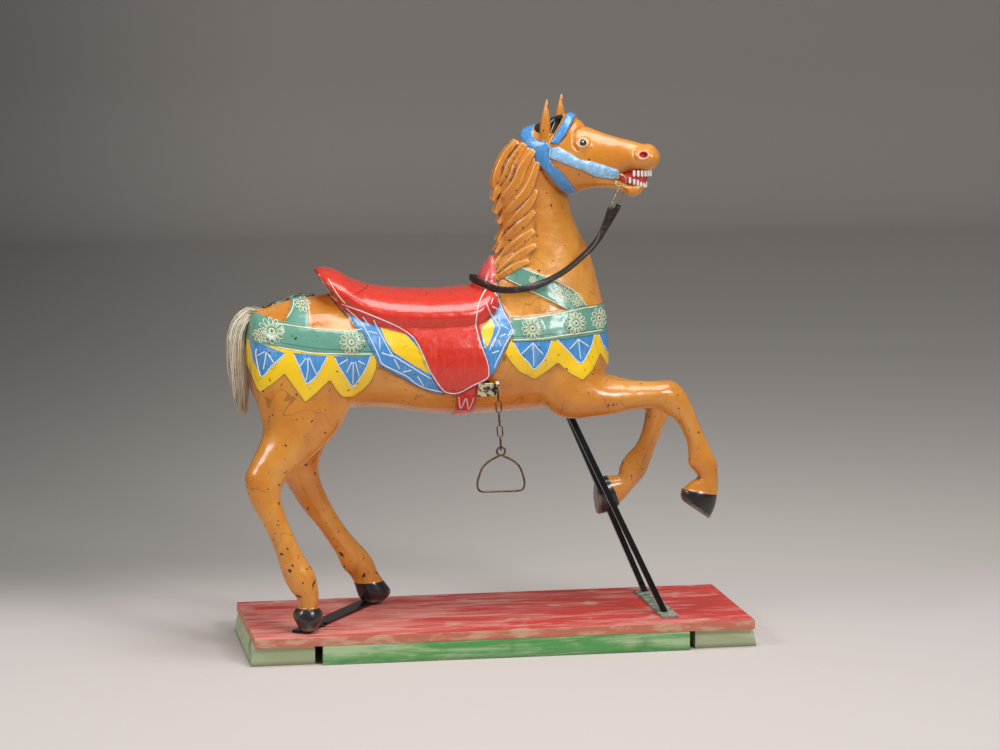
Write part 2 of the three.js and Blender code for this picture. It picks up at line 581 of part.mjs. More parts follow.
// End battens lean outwards at the foot; the boards close the sides between them.
const batten = (end) => {
  const { length, slant, inset } = BATTEN;
  const outer = PLANK.length / 2;
  const height = PLANK.top - PLANK.thickness - GAP;
  const shape = new THREE.Shape([[outer - length, 0], [outer + slant, 0], [outer, height],
    [outer - length, height]].map(([x, z]) => new THREE.Vector2(end * x, z)));
  const width = PLANK.width - 2 * inset;
  return new THREE.ExtrudeGeometry(shape, { depth: width, bevelEnabled: false })
    .rotateX(Math.PI / 2).translate(0, width / 2, 0);
};
const board = (side) => new THREE.BoxGeometry(BOARD.length, BOARD.thickness,
  PLANK.top - PLANK.thickness - GAP)
  .translate(0, side * (PLANK.width - BOARD.thickness) / 2, (PLANK.top - PLANK.thickness - GAP) / 2);

// ---------------------------------------------------------------- the scene graph
const part = new THREE.Group();
const place = new THREE.Group();   // holds the drawing frame; moved below
part.add(place);
const PAINT = { color: 0xd68a2c, roughness: 0.3, metalness: 0 };
const STEEL_LOOK = { color: 0x3a3634, roughness: 0.45, metalness: 0.9 };
const WORN_STEEL = { color: 0x8f9a8e, roughness: 0.55, metalness: 0.6 };
const NICKEL = { color: 0xb9b4a8, roughness: 0.3, metalness: 1 };
const add = (name, body, look) => {
  const mesh = new THREE.Mesh(body.isBufferGeometry ? body : geometryOf(body),
    new THREE.MeshStandardMaterial(look));
  mesh.name = name;
  place.add(mesh);
};
add('horse', filled(horseSolid.subtract(join(tailSocket, staySockets))), PAINT);
add('tail', tail, { color: 0xd9cdb4, roughness: 0.9 });
add('rein_strap', rein, { color: 0x2c1c16, roughness: 0.5 });
[['right', -1], ['left', 1]].forEach(([name, side]) => {
  add(`bit_ring_${name}`, bitRing(side), NICKEL);
  add(`snap_hook_${name}`, snapHook(side), NICKEL);
  add(`stand_bar_${name}`, stay(side), STEEL_LOOK);
});
add('staple_plate', staplePlate(), { color: 0x9a917e, roughness: 0.6, metalness: 0.5 });
add('stirrup_chain', chain(), STEEL_LOOK);
add('stirrup', stirrup(), STEEL_LOOK);
add('stand_foot_plate', new THREE.BoxGeometry(FOOT_PLATE.width, FOOT_PLATE.length, STEEL)
  .translate(FOOT_PLATE.x, 0, PLANK.top + STEEL / 2 + GAP), WORN_STEEL);
add('hoof_bar', hoofBar(), STEEL_LOOK);
const onSteel = PLANK.top + STEEL + GAP;
[[371, -131], [371, 135], [371, -66], [371, 76]].forEach(([x, y], i) =>
  add(`foot_bolt_${i + 1}`, bolt(x, y, onSteel), WORN_STEEL));
[[-386, -97], [-279, 82]].forEach(([x, y], i) =>
  add(`hoof_bolt_${i + 1}`, bolt(x, y, onSteel), STEEL_LOOK));
add('plank', new THREE.BoxGeometry(PLANK.length, PLANK.width, PLANK.thickness)
  .translate(0, 0, PLANK.top - PLANK.thickness / 2), { color: 0xe66e6e, roughness: 0.6 });
add('side_board_right', board(-1), { color: 0x6fae72, roughness: 0.7 });
add('side_board_left', board(1), { color: 0x6fae72, roughness: 0.7 });
add('end_batten_rear', batten(-1), { color: 0xa9b08a, roughness: 0.7 });
add('end_batten_front', batten(1), { color: 0xa9b08a, roughness: 0.7 });

// The origin is the middle of the bounding box's underside, measured without the rein.
const span = new THREE.Box3();
place.children.filter((mesh) => mesh.name !== 'rein_strap').forEach((mesh) => span.expandByObject(mesh));
const middle = span.getCenter(new THREE.Vector3());
place.position.set(-middle.x, -middle.y, -span.min.z);

export default part;
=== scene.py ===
"""Carved and painted carousel horse on its travelling stand: the looks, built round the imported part."""

import math

import bmesh
import bpy
import numpy as np
import openvdb
from mathutils import Euler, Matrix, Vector
from mathutils.bvhtree import BVHTree


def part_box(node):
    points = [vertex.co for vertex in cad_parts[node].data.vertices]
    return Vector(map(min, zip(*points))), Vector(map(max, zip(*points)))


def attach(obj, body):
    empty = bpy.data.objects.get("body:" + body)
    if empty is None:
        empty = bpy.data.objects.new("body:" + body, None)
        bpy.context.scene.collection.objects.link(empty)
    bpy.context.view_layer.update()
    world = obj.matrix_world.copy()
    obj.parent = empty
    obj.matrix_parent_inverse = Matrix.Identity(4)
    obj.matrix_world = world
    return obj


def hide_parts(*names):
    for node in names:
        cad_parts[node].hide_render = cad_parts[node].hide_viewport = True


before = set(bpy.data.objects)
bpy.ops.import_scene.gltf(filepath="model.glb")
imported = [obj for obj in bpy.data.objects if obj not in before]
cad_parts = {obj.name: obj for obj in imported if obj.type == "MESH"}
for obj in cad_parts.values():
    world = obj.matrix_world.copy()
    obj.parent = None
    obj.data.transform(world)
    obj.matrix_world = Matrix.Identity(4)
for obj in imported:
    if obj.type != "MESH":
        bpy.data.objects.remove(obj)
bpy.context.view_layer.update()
MM = 0.001

# The drawing frame of the solids: millimetres, the middle of the plank on the floor.
PLANK_LOW, PLANK_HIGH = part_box("plank")
PLANK_TOP = 62.0
SHIFT = np.array([(PLANK_LOW.x + PLANK_HIGH.x) / 2, (PLANK_LOW.y + PLANK_HIGH.y) / 2,
                  PLANK_HIGH.z - PLANK_TOP * MM])


def place(points):
    """Drawing millimetres to metres in the part's frame."""
    return np.asarray(points, float) * MM + SHIFT


# ---------------------------------------------------------------- camera
def add_camera():
    data = bpy.data.cameras.new("camera")
    data.sensor_width = 36.0
    data.lens = 115.2
    data.clip_end = 50.0
    camera = bpy.data.objects.new("camera", data)
    camera.location = place([-1232.1, -6855.2, 1581.4])
    camera.rotation_euler = Euler((math.radians(90 - 8.091), 0.0, math.radians(-10.324)))
    bpy.context.scene.collection.objects.link(camera)
    bpy.context.scene.camera = camera


add_camera()
# ---------------------------------------------------------------- meshes
def add_mesh(name, points, faces, material=None, smooth=True, attributes=None):
    """A mesh object from drawing millimetres."""
    mesh = bpy.data.meshes.new(name)
    mesh.from_pydata(place(points).tolist(), [], [tuple(int(v) for v in f) for f in faces])
    mesh.validate()
    for key, values in (attributes or {}).items():
        layer = mesh.attributes.new(key, "FLOAT", "POINT")
        layer.data.foreach_set("value", np.asarray(values, np.float32))
    if smooth:
        mesh.polygons.foreach_set("use_smooth", [True] * len(mesh.polygons))
    piece = bpy.data.objects.new(name, mesh)
    bpy.context.scene.collection.objects.link(piece)
    if material:
        mesh.materials.append(material)
    return piece


def sweep(rings, closed=False):
    """Points and faces of equal rings joined side by side, with a fan over each end."""
    rings = np.asarray(rings, float)
    count, sides = rings.shape[:2]
    points = rings.reshape(-1, 3)
    faces = []
    for r in range(count if closed else count - 1):
        here, there = r * sides, ((r + 1) % count) * sides
        for k in range(sides):
            n = (k + 1) % sides
            faces.append((here + k, there + k, there + n, here + n))
    if not closed:
        first, last = len(points), len(points) + 1
        points = np.vstack([points, rings[0].mean(0), rings[-1].mean(0)])
        end = (count - 1) * sides
        for k in range(sides):
            n = (k + 1) % sides
            faces.append((first, k, n))
            faces.append((last, end + n, end + k))
    return points, faces


def outward(points, faces):
    """The faces, turned so that they face out."""
    points = np.asarray(points)
    points = points - points.mean(0)
    total = 0.0
    for f in faces:
        a, b, c = points[f[0]], points[f[1]], points[f[2]]
        total += a @ np.cross(b, c)
        if len(f) == 4:
            total += a @ np.cross(c, points[f[3]])
    return faces if total > 0 else [tuple(reversed(f)) for f in faces]


def joined(parts):
    """Several closed bodies as one mesh."""
    points, faces, start = [], [], 0
    for p, f in parts:
        points.append(np.asarray(p))
        faces += [tuple(v + start for v in face) for face in outward(p, f)]
        start += len(p)
    return np.vstack(points), faces


def blend_rows(rows, per_row):
    """Catmull-Rom through rows of numbers."""
    rows = np.asarray(rows, float)
    last = len(rows) - 1
    t = np.linspace(0, last, last * per_row + 1)
    i = np.minimum(t.astype(int), last - 1)
    f = (t - i)[:, None]
    a, b, c, d = rows[np.maximum(i - 1, 0)], rows[i], rows[i + 1], rows[np.minimum(i + 2, last)]
    return 0.5 * (2 * b + (c - a) * f + (2 * a - 5 * b + 4 * c - d) * f**2 + (3 * b - a - 3 * c + d) * f**3)


def even_line(points, spacing, smooth=True):
    """Points at even steps along a line through the given ones."""
    rows = blend_rows(points, 12) if smooth and len(points) > 2 else np.asarray(points, float)
    lengths = np.concatenate([[0], np.cumsum(np.linalg.norm(np.diff(rows, axis=0), axis=1))])
    at = np.linspace(0, lengths[-1], max(2, int(round(lengths[-1] / spacing)) + 1))
    return np.stack([np.interp(at, lengths, column) for column in rows.T], axis=1)


def limb(rows, sides=40, per_row=6):
    """A closed body through sections [ax, az, bx, bz, half_width, y] read from the side."""
    s = blend_rows(rows, per_row)
    angle = 2 * math.pi * (np.arange(sides) + 0.5) / sides
    c, n = np.cos(angle), np.sin(angle)
    x = (s[:, 0] + s[:, 2])[:, None] / 2 + (s[:, 0] - s[:, 2])[:, None] / 2 * c
    z = (s[:, 1] + s[:, 3])[:, None] / 2 + (s[:, 1] - s[:, 3])[:, None] / 2 * c
    y = s[:, 5][:, None] + s[:, 4][:, None] * n
    return sweep(np.stack([x, y, z], axis=2))


def on_right(rows):
    return [[*row[:5], -row[5]] for row in rows]


def value_noise(points, size, seed):
    """Smooth noise from -1 to 1, in lumps of about the given size."""
    table = np.random.default_rng(seed).uniform(-1, 1, (32, 32, 32))
    at = np.asarray(points) / size
    i = np.floor(at).astype(int)
    f = at - i
    f = f * f * (3 - 2 * f)
    total = np.zeros(len(at))
    for corner in np.ndindex(2, 2, 2):
        weight = np.prod([f[:, k] if corner[k] else 1 - f[:, k] for k in range(3)], axis=0)
        j = (i + corner) % 32
        total += weight * table[j[:, 0], j[:, 1], j[:, 2]]
    return total


# ---------------------------------------------------------------- distance fields
class Grid:
    """A block of cells of one size, in drawing millimetres, that holds distance fields."""

    def __init__(self, low, high, cell, reach=12):
        self.cell = cell
        self.low = np.floor(np.array(low) / cell).astype(int)
        self.shape = tuple(np.ceil(np.array(high) / cell).astype(int) - self.low + 1)
        self.reach = reach

    def axes(self):
        return [(self.low[k] + np.arange(self.shape[k])) * self.cell for k in range(3)]

    def distance(self, points, faces):
        faces = outward(points, faces)
        quads = np.array([f for f in faces if len(f) == 4], np.uint32)
        triangles = np.array([f for f in faces if len(f) == 3], np.uint32)
        level = openvdb.FloatGrid.createLevelSetFromPolygons(
            np.asarray(points, np.float32), triangles=triangles if len(triangles) else None,
            quads=quads if len(quads) else None,
            transform=openvdb.createLinearTransform(voxelSize=self.cell), halfWidth=self.reach)
        field = np.full(self.shape, self.reach * self.cell, np.float32)
        level.copyToArray(field, ijk=tuple(int(v) for v in self.low))
        return field

    def surface(self, field):
        level = openvdb.FloatGrid(self.reach * self.cell)
        level.copyFromArray(field.astype(np.float32), ijk=tuple(int(v) for v in self.low))
        level.transform = openvdb.createLinearTransform(voxelSize=self.cell)
        level.gridClass = openvdb.GridClass.LEVEL_SET
        points, triangles, quads = level.convertToPolygons(isovalue=0.0, adaptivity=0.0)
        return Skin(np.asarray(points, float), np.asarray(quads, int)[:, ::-1])

    def at(self, field, points):
        """The field's values at points."""
        at = np.asarray(points) / self.cell - self.low
        i = np.clip(np.floor(at).astype(int), 0, np.array(self.shape) - 2)
        f = at - i
        value = 0
        for dx, dy, dz in np.ndindex(2, 2, 2):
            weight = (f[:, 0] if dx else 1 - f[:, 0]) * (f[:, 1] if dy else 1 - f[:, 1])
            weight = weight * (f[:, 2] if dz else 1 - f[:, 2])
            value = value + weight * field[i[:, 0] + dx, i[:, 1] + dy, i[:, 2] + dz]
        return value


class Skin:
    """A mesh of four-sided faces, with the measures that its paint needs."""

    def __init__(self, points, quads):
        self.points, self.quads = points, quads
        loops = np.concatenate([quads[:, [k, (k + 1) % 4]] for k in range(4)])
        self.edges = np.concatenate([loops, loops[:, ::-1]])
        self.valence = np.bincount(self.edges[:, 0], minlength=len(points))

    def around(self, values):
        """The mean of each point's neighbours."""
        return np.bincount(self.edges[:, 0], values[self.edges[:, 1]], len(self.points)) / self.valence

    def smoothed(self, values, times=1):
        for _ in range(times):
            values = np.stack([self.around(v) for v in values.T], axis=1) if values.ndim > 1 else self.around(values)
        return values

    def normals(self):
        corners = self.points[self.quads]
        facing = np.cross(corners[:, 2] - corners[:, 0], corners[:, 3] - corners[:, 1])
        total = np.stack([np.bincount(self.quads.ravel(), np.repeat(facing[:, k], 4), len(self.points))
                          for k in range(3)], axis=1)
        return total / np.maximum(np.linalg.norm(total, axis=1), 1e-9)[:, None]

    def cavity(self, times=2):
        """Positive in hollows, negative on ridges, in parts of a millimetre."""
        normals = self.normals()
        bend = ((self.smoothed(self.points, 2) - self.points) * normals).sum(1)
        return self.smoothed(bend, times)

    def roughen(self, lumps):
        """Move the points in and out by (height, size, seed) noises."""
        normals = self.normals()
        for height, size, seed in lumps:
            self.points = self.points + normals * (height * value_noise(self.points, size, seed))[:, None]


def melt(a, b, soft):
    """Union of two fields with a fillet."""
    h = np.clip(0.5 + 0.5 * (b - a) / soft, 0, 1)
    return b + (a - b) * h - soft * h * (1 - h)


def cut(a, b, soft=0.01):
    """Field a with b taken out of it."""
    return -melt(-a, b, soft)


def step(value, low, high):
    t = np.clip((value - low) / (high - low), 0, 1)
    return t * t * (3 - 2 * t)


def outline_distance(outline, x, z):
    """Signed distance in the side view to a closed outline, negative inside."""
    corners = np.asarray(outline, float)
    best = np.full(np.shape(x), 1e9)
    inside = np.zeros(np.shape(x), bool)
    for (ax, az), (bx, bz) in zip(corners, np.roll(corners, -1, axis=0)):
        ex, ez = bx - ax, bz - az
        t = np.clip(((x - ax) * ex + (z - az) * ez) / (ex * ex + ez * ez), 0, 1)
        best = np.minimum(best, np.hypot(x - ax - t * ex, z - az - t * ez))
        crosses = (az > z) != (bz > z)
        inside ^= crosses & (x < ex * (z - az) / (ez if ez else 1e-9) + ax)
    return np.where(inside, -best, best)


def stroke_distance(strokes, x, z):
    """Distance in the side view to the nearest of several open lines."""
    best = np.full(np.shape(x), 60.0)
    for line in strokes:
        for (ax, az), (bx, bz) in zip(line, line[1:]):
            ex, ez = bx - ax, bz - az
            t = np.clip(((x - ax) * ex + (z - az) * ez) / (ex * ex + ez * ez), 0, 1)
            best = np.minimum(best, np.hypot(x - ax - t * ex, z - az - t * ez))
    return best


def capsule(X, Y, Z, a, b, radius):
    """Distance field of a round-ended bar."""
    a, b = np.asarray(a, float), np.asarray(b, float)
    e = b - a
    t = np.clip(((X - a[0]) * e[0] + (Y - a[1]) * e[1] + (Z - a[2]) * e[2]) / (e @ e), 0, 1)
    return (np.sqrt((X - a[0] - t * e[0])**2 + (Y - a[1] - t * e[1])**2 + (Z - a[2] - t * e[2])**2)
            - radius).astype(np.float32)


# ---------------------------------------------------------------- the carving's sections, in millimetres
# Rows of [ax, az, bx, bz, half_width, y], as in the solids.
TORSO = [
    [-540, 690, -540, 620, 26, 0],
  [-526, 742, -530, 560, 70, 0],
  [-500, 752, -505, 530, 96, 0],
  [-460, 766, -465, 508, 116, 0],
  [-415, 774, -415, 505, 125, 0],
  [-365, 778, -365, 520, 127, 0],
  [-310, 776, -310, 528, 124, 0],
  [-240, 770, -240, 527, 121, 0],
  [-170, 766, -170, 516, 124, 0],
  [-90, 766, -90, 510, 127, 0],
  [-10, 770, -10, 510, 126, 0],
  [60, 785, 60, 514, 121, 0],
  [130, 795, 130, 516, 116, 0],
  [188, 790, 185, 518, 104, 0],
  [228, 765, 222, 530, 82, 0],
  [246, 720, 244, 555, 54, 0],
  [254, 655, 254, 600, 24, 0],
]
NECK = [
    [205, 620, -50, 730, 88, 0],
  [234, 735, -25, 785, 86, 0],
  [232, 800, -2, 822, 74, 0],
  [215, 862, 14, 860, 63, 0],
  [191, 910, 20, 905, 56, 0],
  [174, 955, 16, 960, 51, 0],
  [166, 992, 12, 1015, 47, 0],
  [160, 1025, 26, 1062, 44, 0],
  [150, 1050, 50, 1100, 38, 0],
]
HIND_RIGHT = [
    [-345, 700, -505, 700, 40, 55],
  [-328, 640, -520, 640, 56, 68],
  [-325, 560, -529, 578, 60, 70],
  [-344, 505, -519, 520, 55, 76],
  [-376, 468, -517, 486, 47, 84],
  [-420, 432, -531, 455, 39, 94],
  [-455, 405, -546, 426, 33, 102],
  [-474, 384, -558, 400, 29, 108],
  [-483, 355, -553, 362, 27, 113],
  [-475, 320, -538, 325, 25, 118],
  [-462, 285, -518, 288, 23, 122],
  [-447, 250, -501, 250, 22, 126],
  [-430, 218, -489, 210, 23, 130],
  [-414, 192, -480, 182, 25, 133],
  [-407, 162, -466, 155, 25, 135],
  [-406, 138, -453, 138, 22, 137],
  [-408, 112, -448, 114, 21, 138],
]
HIND_LEFT = [
    [-345, 700, -505, 700, 40, 55],
  [-328, 640, -520, 640, 56, 68],
  [-315, 548, -524, 575, 60, 70],
  [-330, 470, -504, 500, 52, 78],
  [-363, 425, -488, 450, 42, 88],
  [-374, 388, -470, 412, 33, 96],
  [-370, 350, -455, 368, 29, 102],
  [-357, 318, -433, 324, 26, 106],
  [-340, 284, -407, 283, 23, 110],
  [-321, 252, -379, 248, 23, 114],
  [-297, 219, -353, 210, 24, 117],
  [-268, 186, -333, 177, 26, 120],
  [-250, 160, -319, 147, 26, 122],
  [-240, 136, -301, 127, 24, 124],
  [-228, 116, -292, 108, 24, 125],
]
FORE_RIGHT = [
    [190, 680, 105, 650, 36, 48],
  [215, 640, 92, 590, 50, 62],
  [228, 602, 104, 532, 52, 68],
  [246, 590, 150, 503, 47, 74],
  [292, 583, 240, 508, 40, 80],
  [342, 581, 298, 520, 35, 84],
  [380, 582, 346, 519, 33, 87],
  [403, 570, 373, 506, 31, 88],
  [419, 545, 397, 488, 28, 89],
  [433, 515, 411, 463, 24, 90],
  [451, 472, 419, 440, 20, 91],
  [468, 436, 422, 412, 19, 92],
  [485, 398, 422, 394, 21, 93],
  [487, 372, 443, 366, 20, 93],
  [489, 348, 425, 354, 21, 93],
  [486, 324, 410, 340, 24, 93],
]
FORE_LEFT = [
    [190, 680, 105, 650, 36, 48],
  [215, 640, 92, 590, 50, 60],
  [232, 602, 100, 528, 51, 66],
  [275, 578, 200, 498, 44, 72],
  [330, 562, 285, 494, 37, 76],
  [388, 552, 335, 492, 34, 80],
  [424, 532, 362, 492, 31, 82],
  [424, 498, 363, 474, 27, 83],
  [408, 456, 356, 440, 23, 84],
  [393, 420, 343, 410, 20, 85],
  [380, 384, 320, 387, 21, 85],
  [365, 346, 305, 362, 22, 85],
  [338, 314, 303, 344, 20, 85],
  [305, 278, 276, 343, 24, 85],
]
HOOVES = {
  "fore_right": [[487, 326, 407, 342, 26, -93], [483, 300, 404, 327, 28, -93],
    [469, 272, 408, 315, 29, -93]],
  "fore_left": [[306, 275, 276, 344, 25, 85], [284, 262, 260, 340, 28, 85],
    [253, 256, 250, 331, 29, 85]],
  "hind_right": [[-406, 116, -453, 116, 23, -139], [-396, 102, -463, 102, 27, -141],
    [-401, 86, -457, 86, 27, -143], [-412, 68.5, -447, 68.5, 25, -144]],
  "hind_left": [[-227, 115, -293, 112, 26, 125], [-211, 92, -288, 92, 30, 125],
    [-216, 78, -282, 78, 29, 125], [-228, 68.5, -274, 68.5, 26, 125]],
}
HEAD = [
    [58, 1108, 106, 1046, 26, 0],
  [68, 1128, 126, 1018, 40, 0],
  [95, 1140, 150, 1000, 49, 0],
  [135, 1158, 174, 993, 52, 0],
  [168, 1166, 200, 998, 50, 0],
  [188, 1157, 218, 1004, 46, 0],
  [206, 1141, 238, 1009, 43, 0],
  [240, 1127, 258, 1012, 37, 0],
  [275, 1117, 280, 1020, 32, 0],
  [305, 1110, 305, 1042, 29, 0],
  [332, 1103, 330, 1044, 30, 0],
  [352, 1102, 352, 1045, 31, 0],
  [366, 1091, 366, 1054, 26, 0],
  [373, 1077, 373, 1067, 12, 0],
]
JAW = [
    [200, 1060, 205, 1005, 30, 0],
  [240, 1044, 240, 1006, 30, 0],
  [275, 1034, 275, 1004, 27, 0],
  [300, 1018, 294, 999, 23, 0],
  [315, 1017, 308, 988, 23, 0],
  [330, 1018, 326, 991, 21, 0],
  [340, 1017, 338, 1005, 11, 0],
]
EAR = [
    [-11, 1108, 11, 1108, 9, 0],
  [-13, 1132, 12, 1130, 11, 0],
  [-10, 1156, 12, 1153, 9, 0],
  [-5, 1177, 9, 1177, 6, 0],
  [1, 1198, 4, 1198, 1.5, 0],
]
LOCKS = [
    [[52, 1106, 8], [30, 1078, 12], [13, 1046, 12], [2, 1018, 8], [0, 1002, 3]],
  [[66, 1101, 9], [40, 1062, 13], [26, 1028, 13], [8, 998, 10], [-2, 976, 4]],
  [[84, 1088, 9], [60, 1050, 13], [46, 1016, 14], [22, 982, 12], [3, 948, 5]],
  [[92, 1062, 8], [80, 1026, 11], [66, 996, 13], [40, 966, 12], [10, 926, 5]],
  [[88, 1002, 7], [74, 974, 11], [50, 946, 12], [26, 914, 9], [8, 886, 4]],
  [[84, 956, 7], [62, 932, 12], [38, 908, 12], [18, 882, 8], [3, 862, 4]],
  [[82, 914, 8], [60, 896, 13], [36, 874, 13], [12, 848, 9], [-4, 832, 4]],
  [[86, 882, 7], [62, 868, 11], [34, 846, 12], [8, 820, 9], [-14, 806, 4]],
  [[70, 848, 7], [46, 838, 10], [22, 822, 10], [0, 806, 6]],
]
SEAT = [
    [-394, 831, -352, 775, 84, 0],
  [-374, 837, -332, 740, 97, 0],
  [-346, 831, -300, 705, 105, 0],
  [-305, 809, -270, 690, 110, 0],
  [-250, 794, -240, 680, 114, 0],
  [-150, 786, -150, 680, 118, 0],
  [-60, 790, -60, 680, 116, 0],
  [-22, 800, -30, 700, 104, 0],
  [0, 800, -8, 720, 88, 0],
]
POMMEL = [
    [14, 790, -40, 790, 46, 0],
  [10, 820, -30, 818, 38, 0],
  [6, 845, -14, 843, 26, 0],
  [2, 856, -6, 855, 14, 0],
]
FLAP = [[-345, 785], [-337, 762], [-267, 740], [-203, 704], [-184, 681], [-169, 647],
  [-154, 607], [-135, 578], [-118, 567], [-95, 566], [-66, 583], [-31, 600], [-27, 607],
  [-33, 637], [-46, 676], [-53, 716], [-51, 755], [-40, 777], [-15, 800], [-150, 860]]
CLOTH = [[-350, 775], [-341, 762], [-316, 718], [-301, 705], [-272, 642], [-267, 635],
  [-218, 607], [-184, 586], [-140, 568], [-95, 575], [-60, 590], [-22, 611], [-12, 627], [3, 661],
  [18, 691], [27, 706], [10, 743], [-8, 779], [-21, 805], [-150, 840]]
GIRTH = [[-98, 575], [-92, 480], [-52, 480], [-56, 590]]
RUMP_BAND = [[-560, 745], [-516, 742], [-475, 731], [-413, 717], [-354, 711], [-310, 713],
  [-276, 660], [-315, 655], [-394, 665], [-453, 675], [-508, 682], [-560, 688]]
HIP_STRAP = [[-468, 725], [-447, 766], [-440, 820], [-410, 820], [-414, 775], [-418, 712]]
BREAST_BAND = [[22, 729], [79, 732], [139, 741], [181, 748], [232, 749], [300, 747],
  [300, 692], [239, 690], [160, 685], [119, 681], [22, 680]]
SHOULDER_STRAP = [[51, 838], [95, 818], [125, 804], [148, 790], [172, 780], [196, 745],
  [144, 745], [101, 769], [58, 791], [15, 812]]
CROWN_STRAP = [[60, 1118], [70, 1140], [92, 1150], [98, 1116], [118, 1107], [132, 1107],
  [146, 1090], [141, 1071], [148, 1055], [163, 1045], [180, 1023], [197, 985], [170, 985],
  [132, 1039], [112, 1061], [87, 1094]]
CHEEK_STRAP = [[141, 1092], [158, 1096], [190, 1080], [210, 1068], [230, 1065],
  [265, 1055], [290, 1046], [290, 1027], [272, 1027], [238, 1032], [213, 1045], [139, 1073]]
BROW_BAND = [[143, 1104], [153, 1124], [166, 1150], [172, 1180], [188, 1180], [184, 1145],
  [172, 1119], [160, 1102]]
ROSETTES = [[-329, 688, 24], [-496, 712, 24], [67, 707, 23], [166, 714, 24]]
REIN_PATH = [[242, -112, 967], [238, -112, 958], [231, -111, 936], [218, -109, 906],
  [198, -105, 879], [172, -99, 853], [142, -93, 828], [112, -89, 811], [83, -88, 799],
  [53, -88, 791], [23, -84, 788], [-4, -76, 790], [-24, -66, 798], [-39, -46, 803], [-46, -22, 806],
  [-48, 0, 808], [-46, 22, 806], [-39, 46, 803], [-24, 66, 798], [-4, 76, 790], [23, 84, 788],
  [53, 89, 790], [84, 91, 795], [118, 91, 801], [150, 88, 810], [180, 80, 825], [205, 64, 841],
  [221, 44, 855], [229, 20, 870], [236, -6, 891], [247, -29, 915], [259, -45, 942],
  [268, -53, 961], [270, -54, 967]]
TAIL = [[-500, 736, 13], [-530, 742, 17], [-552, 722, 20], [-563, 690, 21], [-563, 650, 20],
  [-560, 610, 19], [-556, 570, 16], [-552, 540, 11], [-551, 520, 5]]
EARS = {"right": (128, -38, 0), "left": (141, 38, 8)}
EYE = (212, 41, 1106, 9)
NOSTRIL = (343, 31, 1081)
HEAD_TURN = 26
POLL_X = 100
NECK_ROWS = blend_rows(NECK, 12)
PUFFS = [(158, 1083), (180, 1073), (205, 1061), (233, 1050), (247, 1045), (261, 1040)]
ROUNDEL = (274, 1037)
HEAD_CREASES = [
      [(213, 1140), (204, 1138), (197, 1131), (191, 1115), (193, 1098), (202, 1088)],
    [(164, 1106), (176, 1120), (184, 1138), (190, 1152)],
    [(327, 1094), (321, 1088), (322, 1076), (327, 1068)],
    [(296, 1040), (303, 1036), (309, 1031)],
    [(255, 1014), (290, 1012), (306, 1000)],
]
MANE_BED = [(52, 1108), (84, 1092), (90, 1066), (82, 1030), (80, 990), (79, 936), (80, 890), (62, 848),
            (30, 826), (-10, 806), (-25, 815), (-18, 870), (-8, 900), (-15, 950), (-18, 990), (-12, 1030),
            (8, 1070), (30, 1100)]
RUMP_BLUE = [
      [(-540, 692), (-535, 650), (-521, 613), (-498, 637), (-469, 666)],
    [(-455, 668), (-443, 635), (-432, 607), (-426, 599), (-407, 614), (-392, 636), (-380, 660)],
    [(-368, 659), (-358, 637), (-343, 612), (-325, 588), (-306, 613), (-294, 635), (-285, 659)],
]
RUMP_YELLOW = [(-560, 700), (-545, 640), (-528, 585), (-523, 581), (-493, 605), (-473, 624), (-459, 603),
               (-444, 582), (-430, 562), (-406, 581), (-376, 609), (-361, 584), (-348, 569), (-325, 565),
               (-305, 577), (-286, 600), (-276, 628), (-272, 665), (-400, 675)]
BREAST_BLUE = [
      [(22, 681), (39, 652), (58, 631), (71, 616), (92, 638), (102, 658), (111, 684)],
    [(119, 685), (147, 653), (174, 626), (192, 645), (204, 668), (210, 690)],
    [(218, 692), (226, 668), (238, 650), (260, 640), (300, 640), (300, 694)],
]
BREAST_YELLOW = [(22, 690), (5, 657), (20, 634), (38, 614), (73, 596), (98, 612), (123, 632), (149, 608),
                 (178, 592), (203, 613), (224, 646), (243, 618), (270, 600), (300, 590), (300, 700)]
CLOTH_LENS_REAR = [(-268, 731), (-262, 712), (-255, 692), (-239, 665), (-196, 636), (-157, 613), (-160, 640),
                   (-188, 676), (-208, 700), (-234, 716)]
CLOTH_LENS_FRONT = [(-40, 756), (-25, 738), (-15, 714), (-22, 694), (-36, 668), (-42, 686), (-47, 704), (-46, 731)]
PAINT = {
    "flap": FLAP, "cloth": CLOTH, "lens_rear": CLOTH_LENS_REAR, "lens_front": CLOTH_LENS_FRONT,
    "girth": GIRTH, "rump_yellow": RUMP_YELLOW, "breast_yellow": BREAST_YELLOW,
    "rump_band": RUMP_BAND, "hip_strap": HIP_STRAP, "breast_band": BREAST_BAND, "shoulder_strap": SHOULDER_STRAP,
}
RELIEF = [
      (FLAP, 9.0, 3.0), (CLOTH, 5.0, 2.0), (GIRTH, 4.0, 2.0), (RUMP_BAND, 3.5, 2.0), (HIP_STRAP, 3.5, 2.0),
    (BREAST_BAND, 3.5, 2.0), (SHOULDER_STRAP, 3.5, 2.0), (RUMP_YELLOW, 2.4, 1.5), (BREAST_YELLOW, 2.4, 1.5),
]
HEAD_PAINT = {
    "crown_strap": CROWN_STRAP, "cheek_strap": CHEEK_STRAP, "brow_band": BROW_BAND,
    "hollow": [(98, 1132), (106, 1126), (119, 1122), (130, 1112), (141, 1117), (152, 1132), (159, 1146),
               (163, 1160), (150, 1168), (120, 1160), (96, 1146)],
}
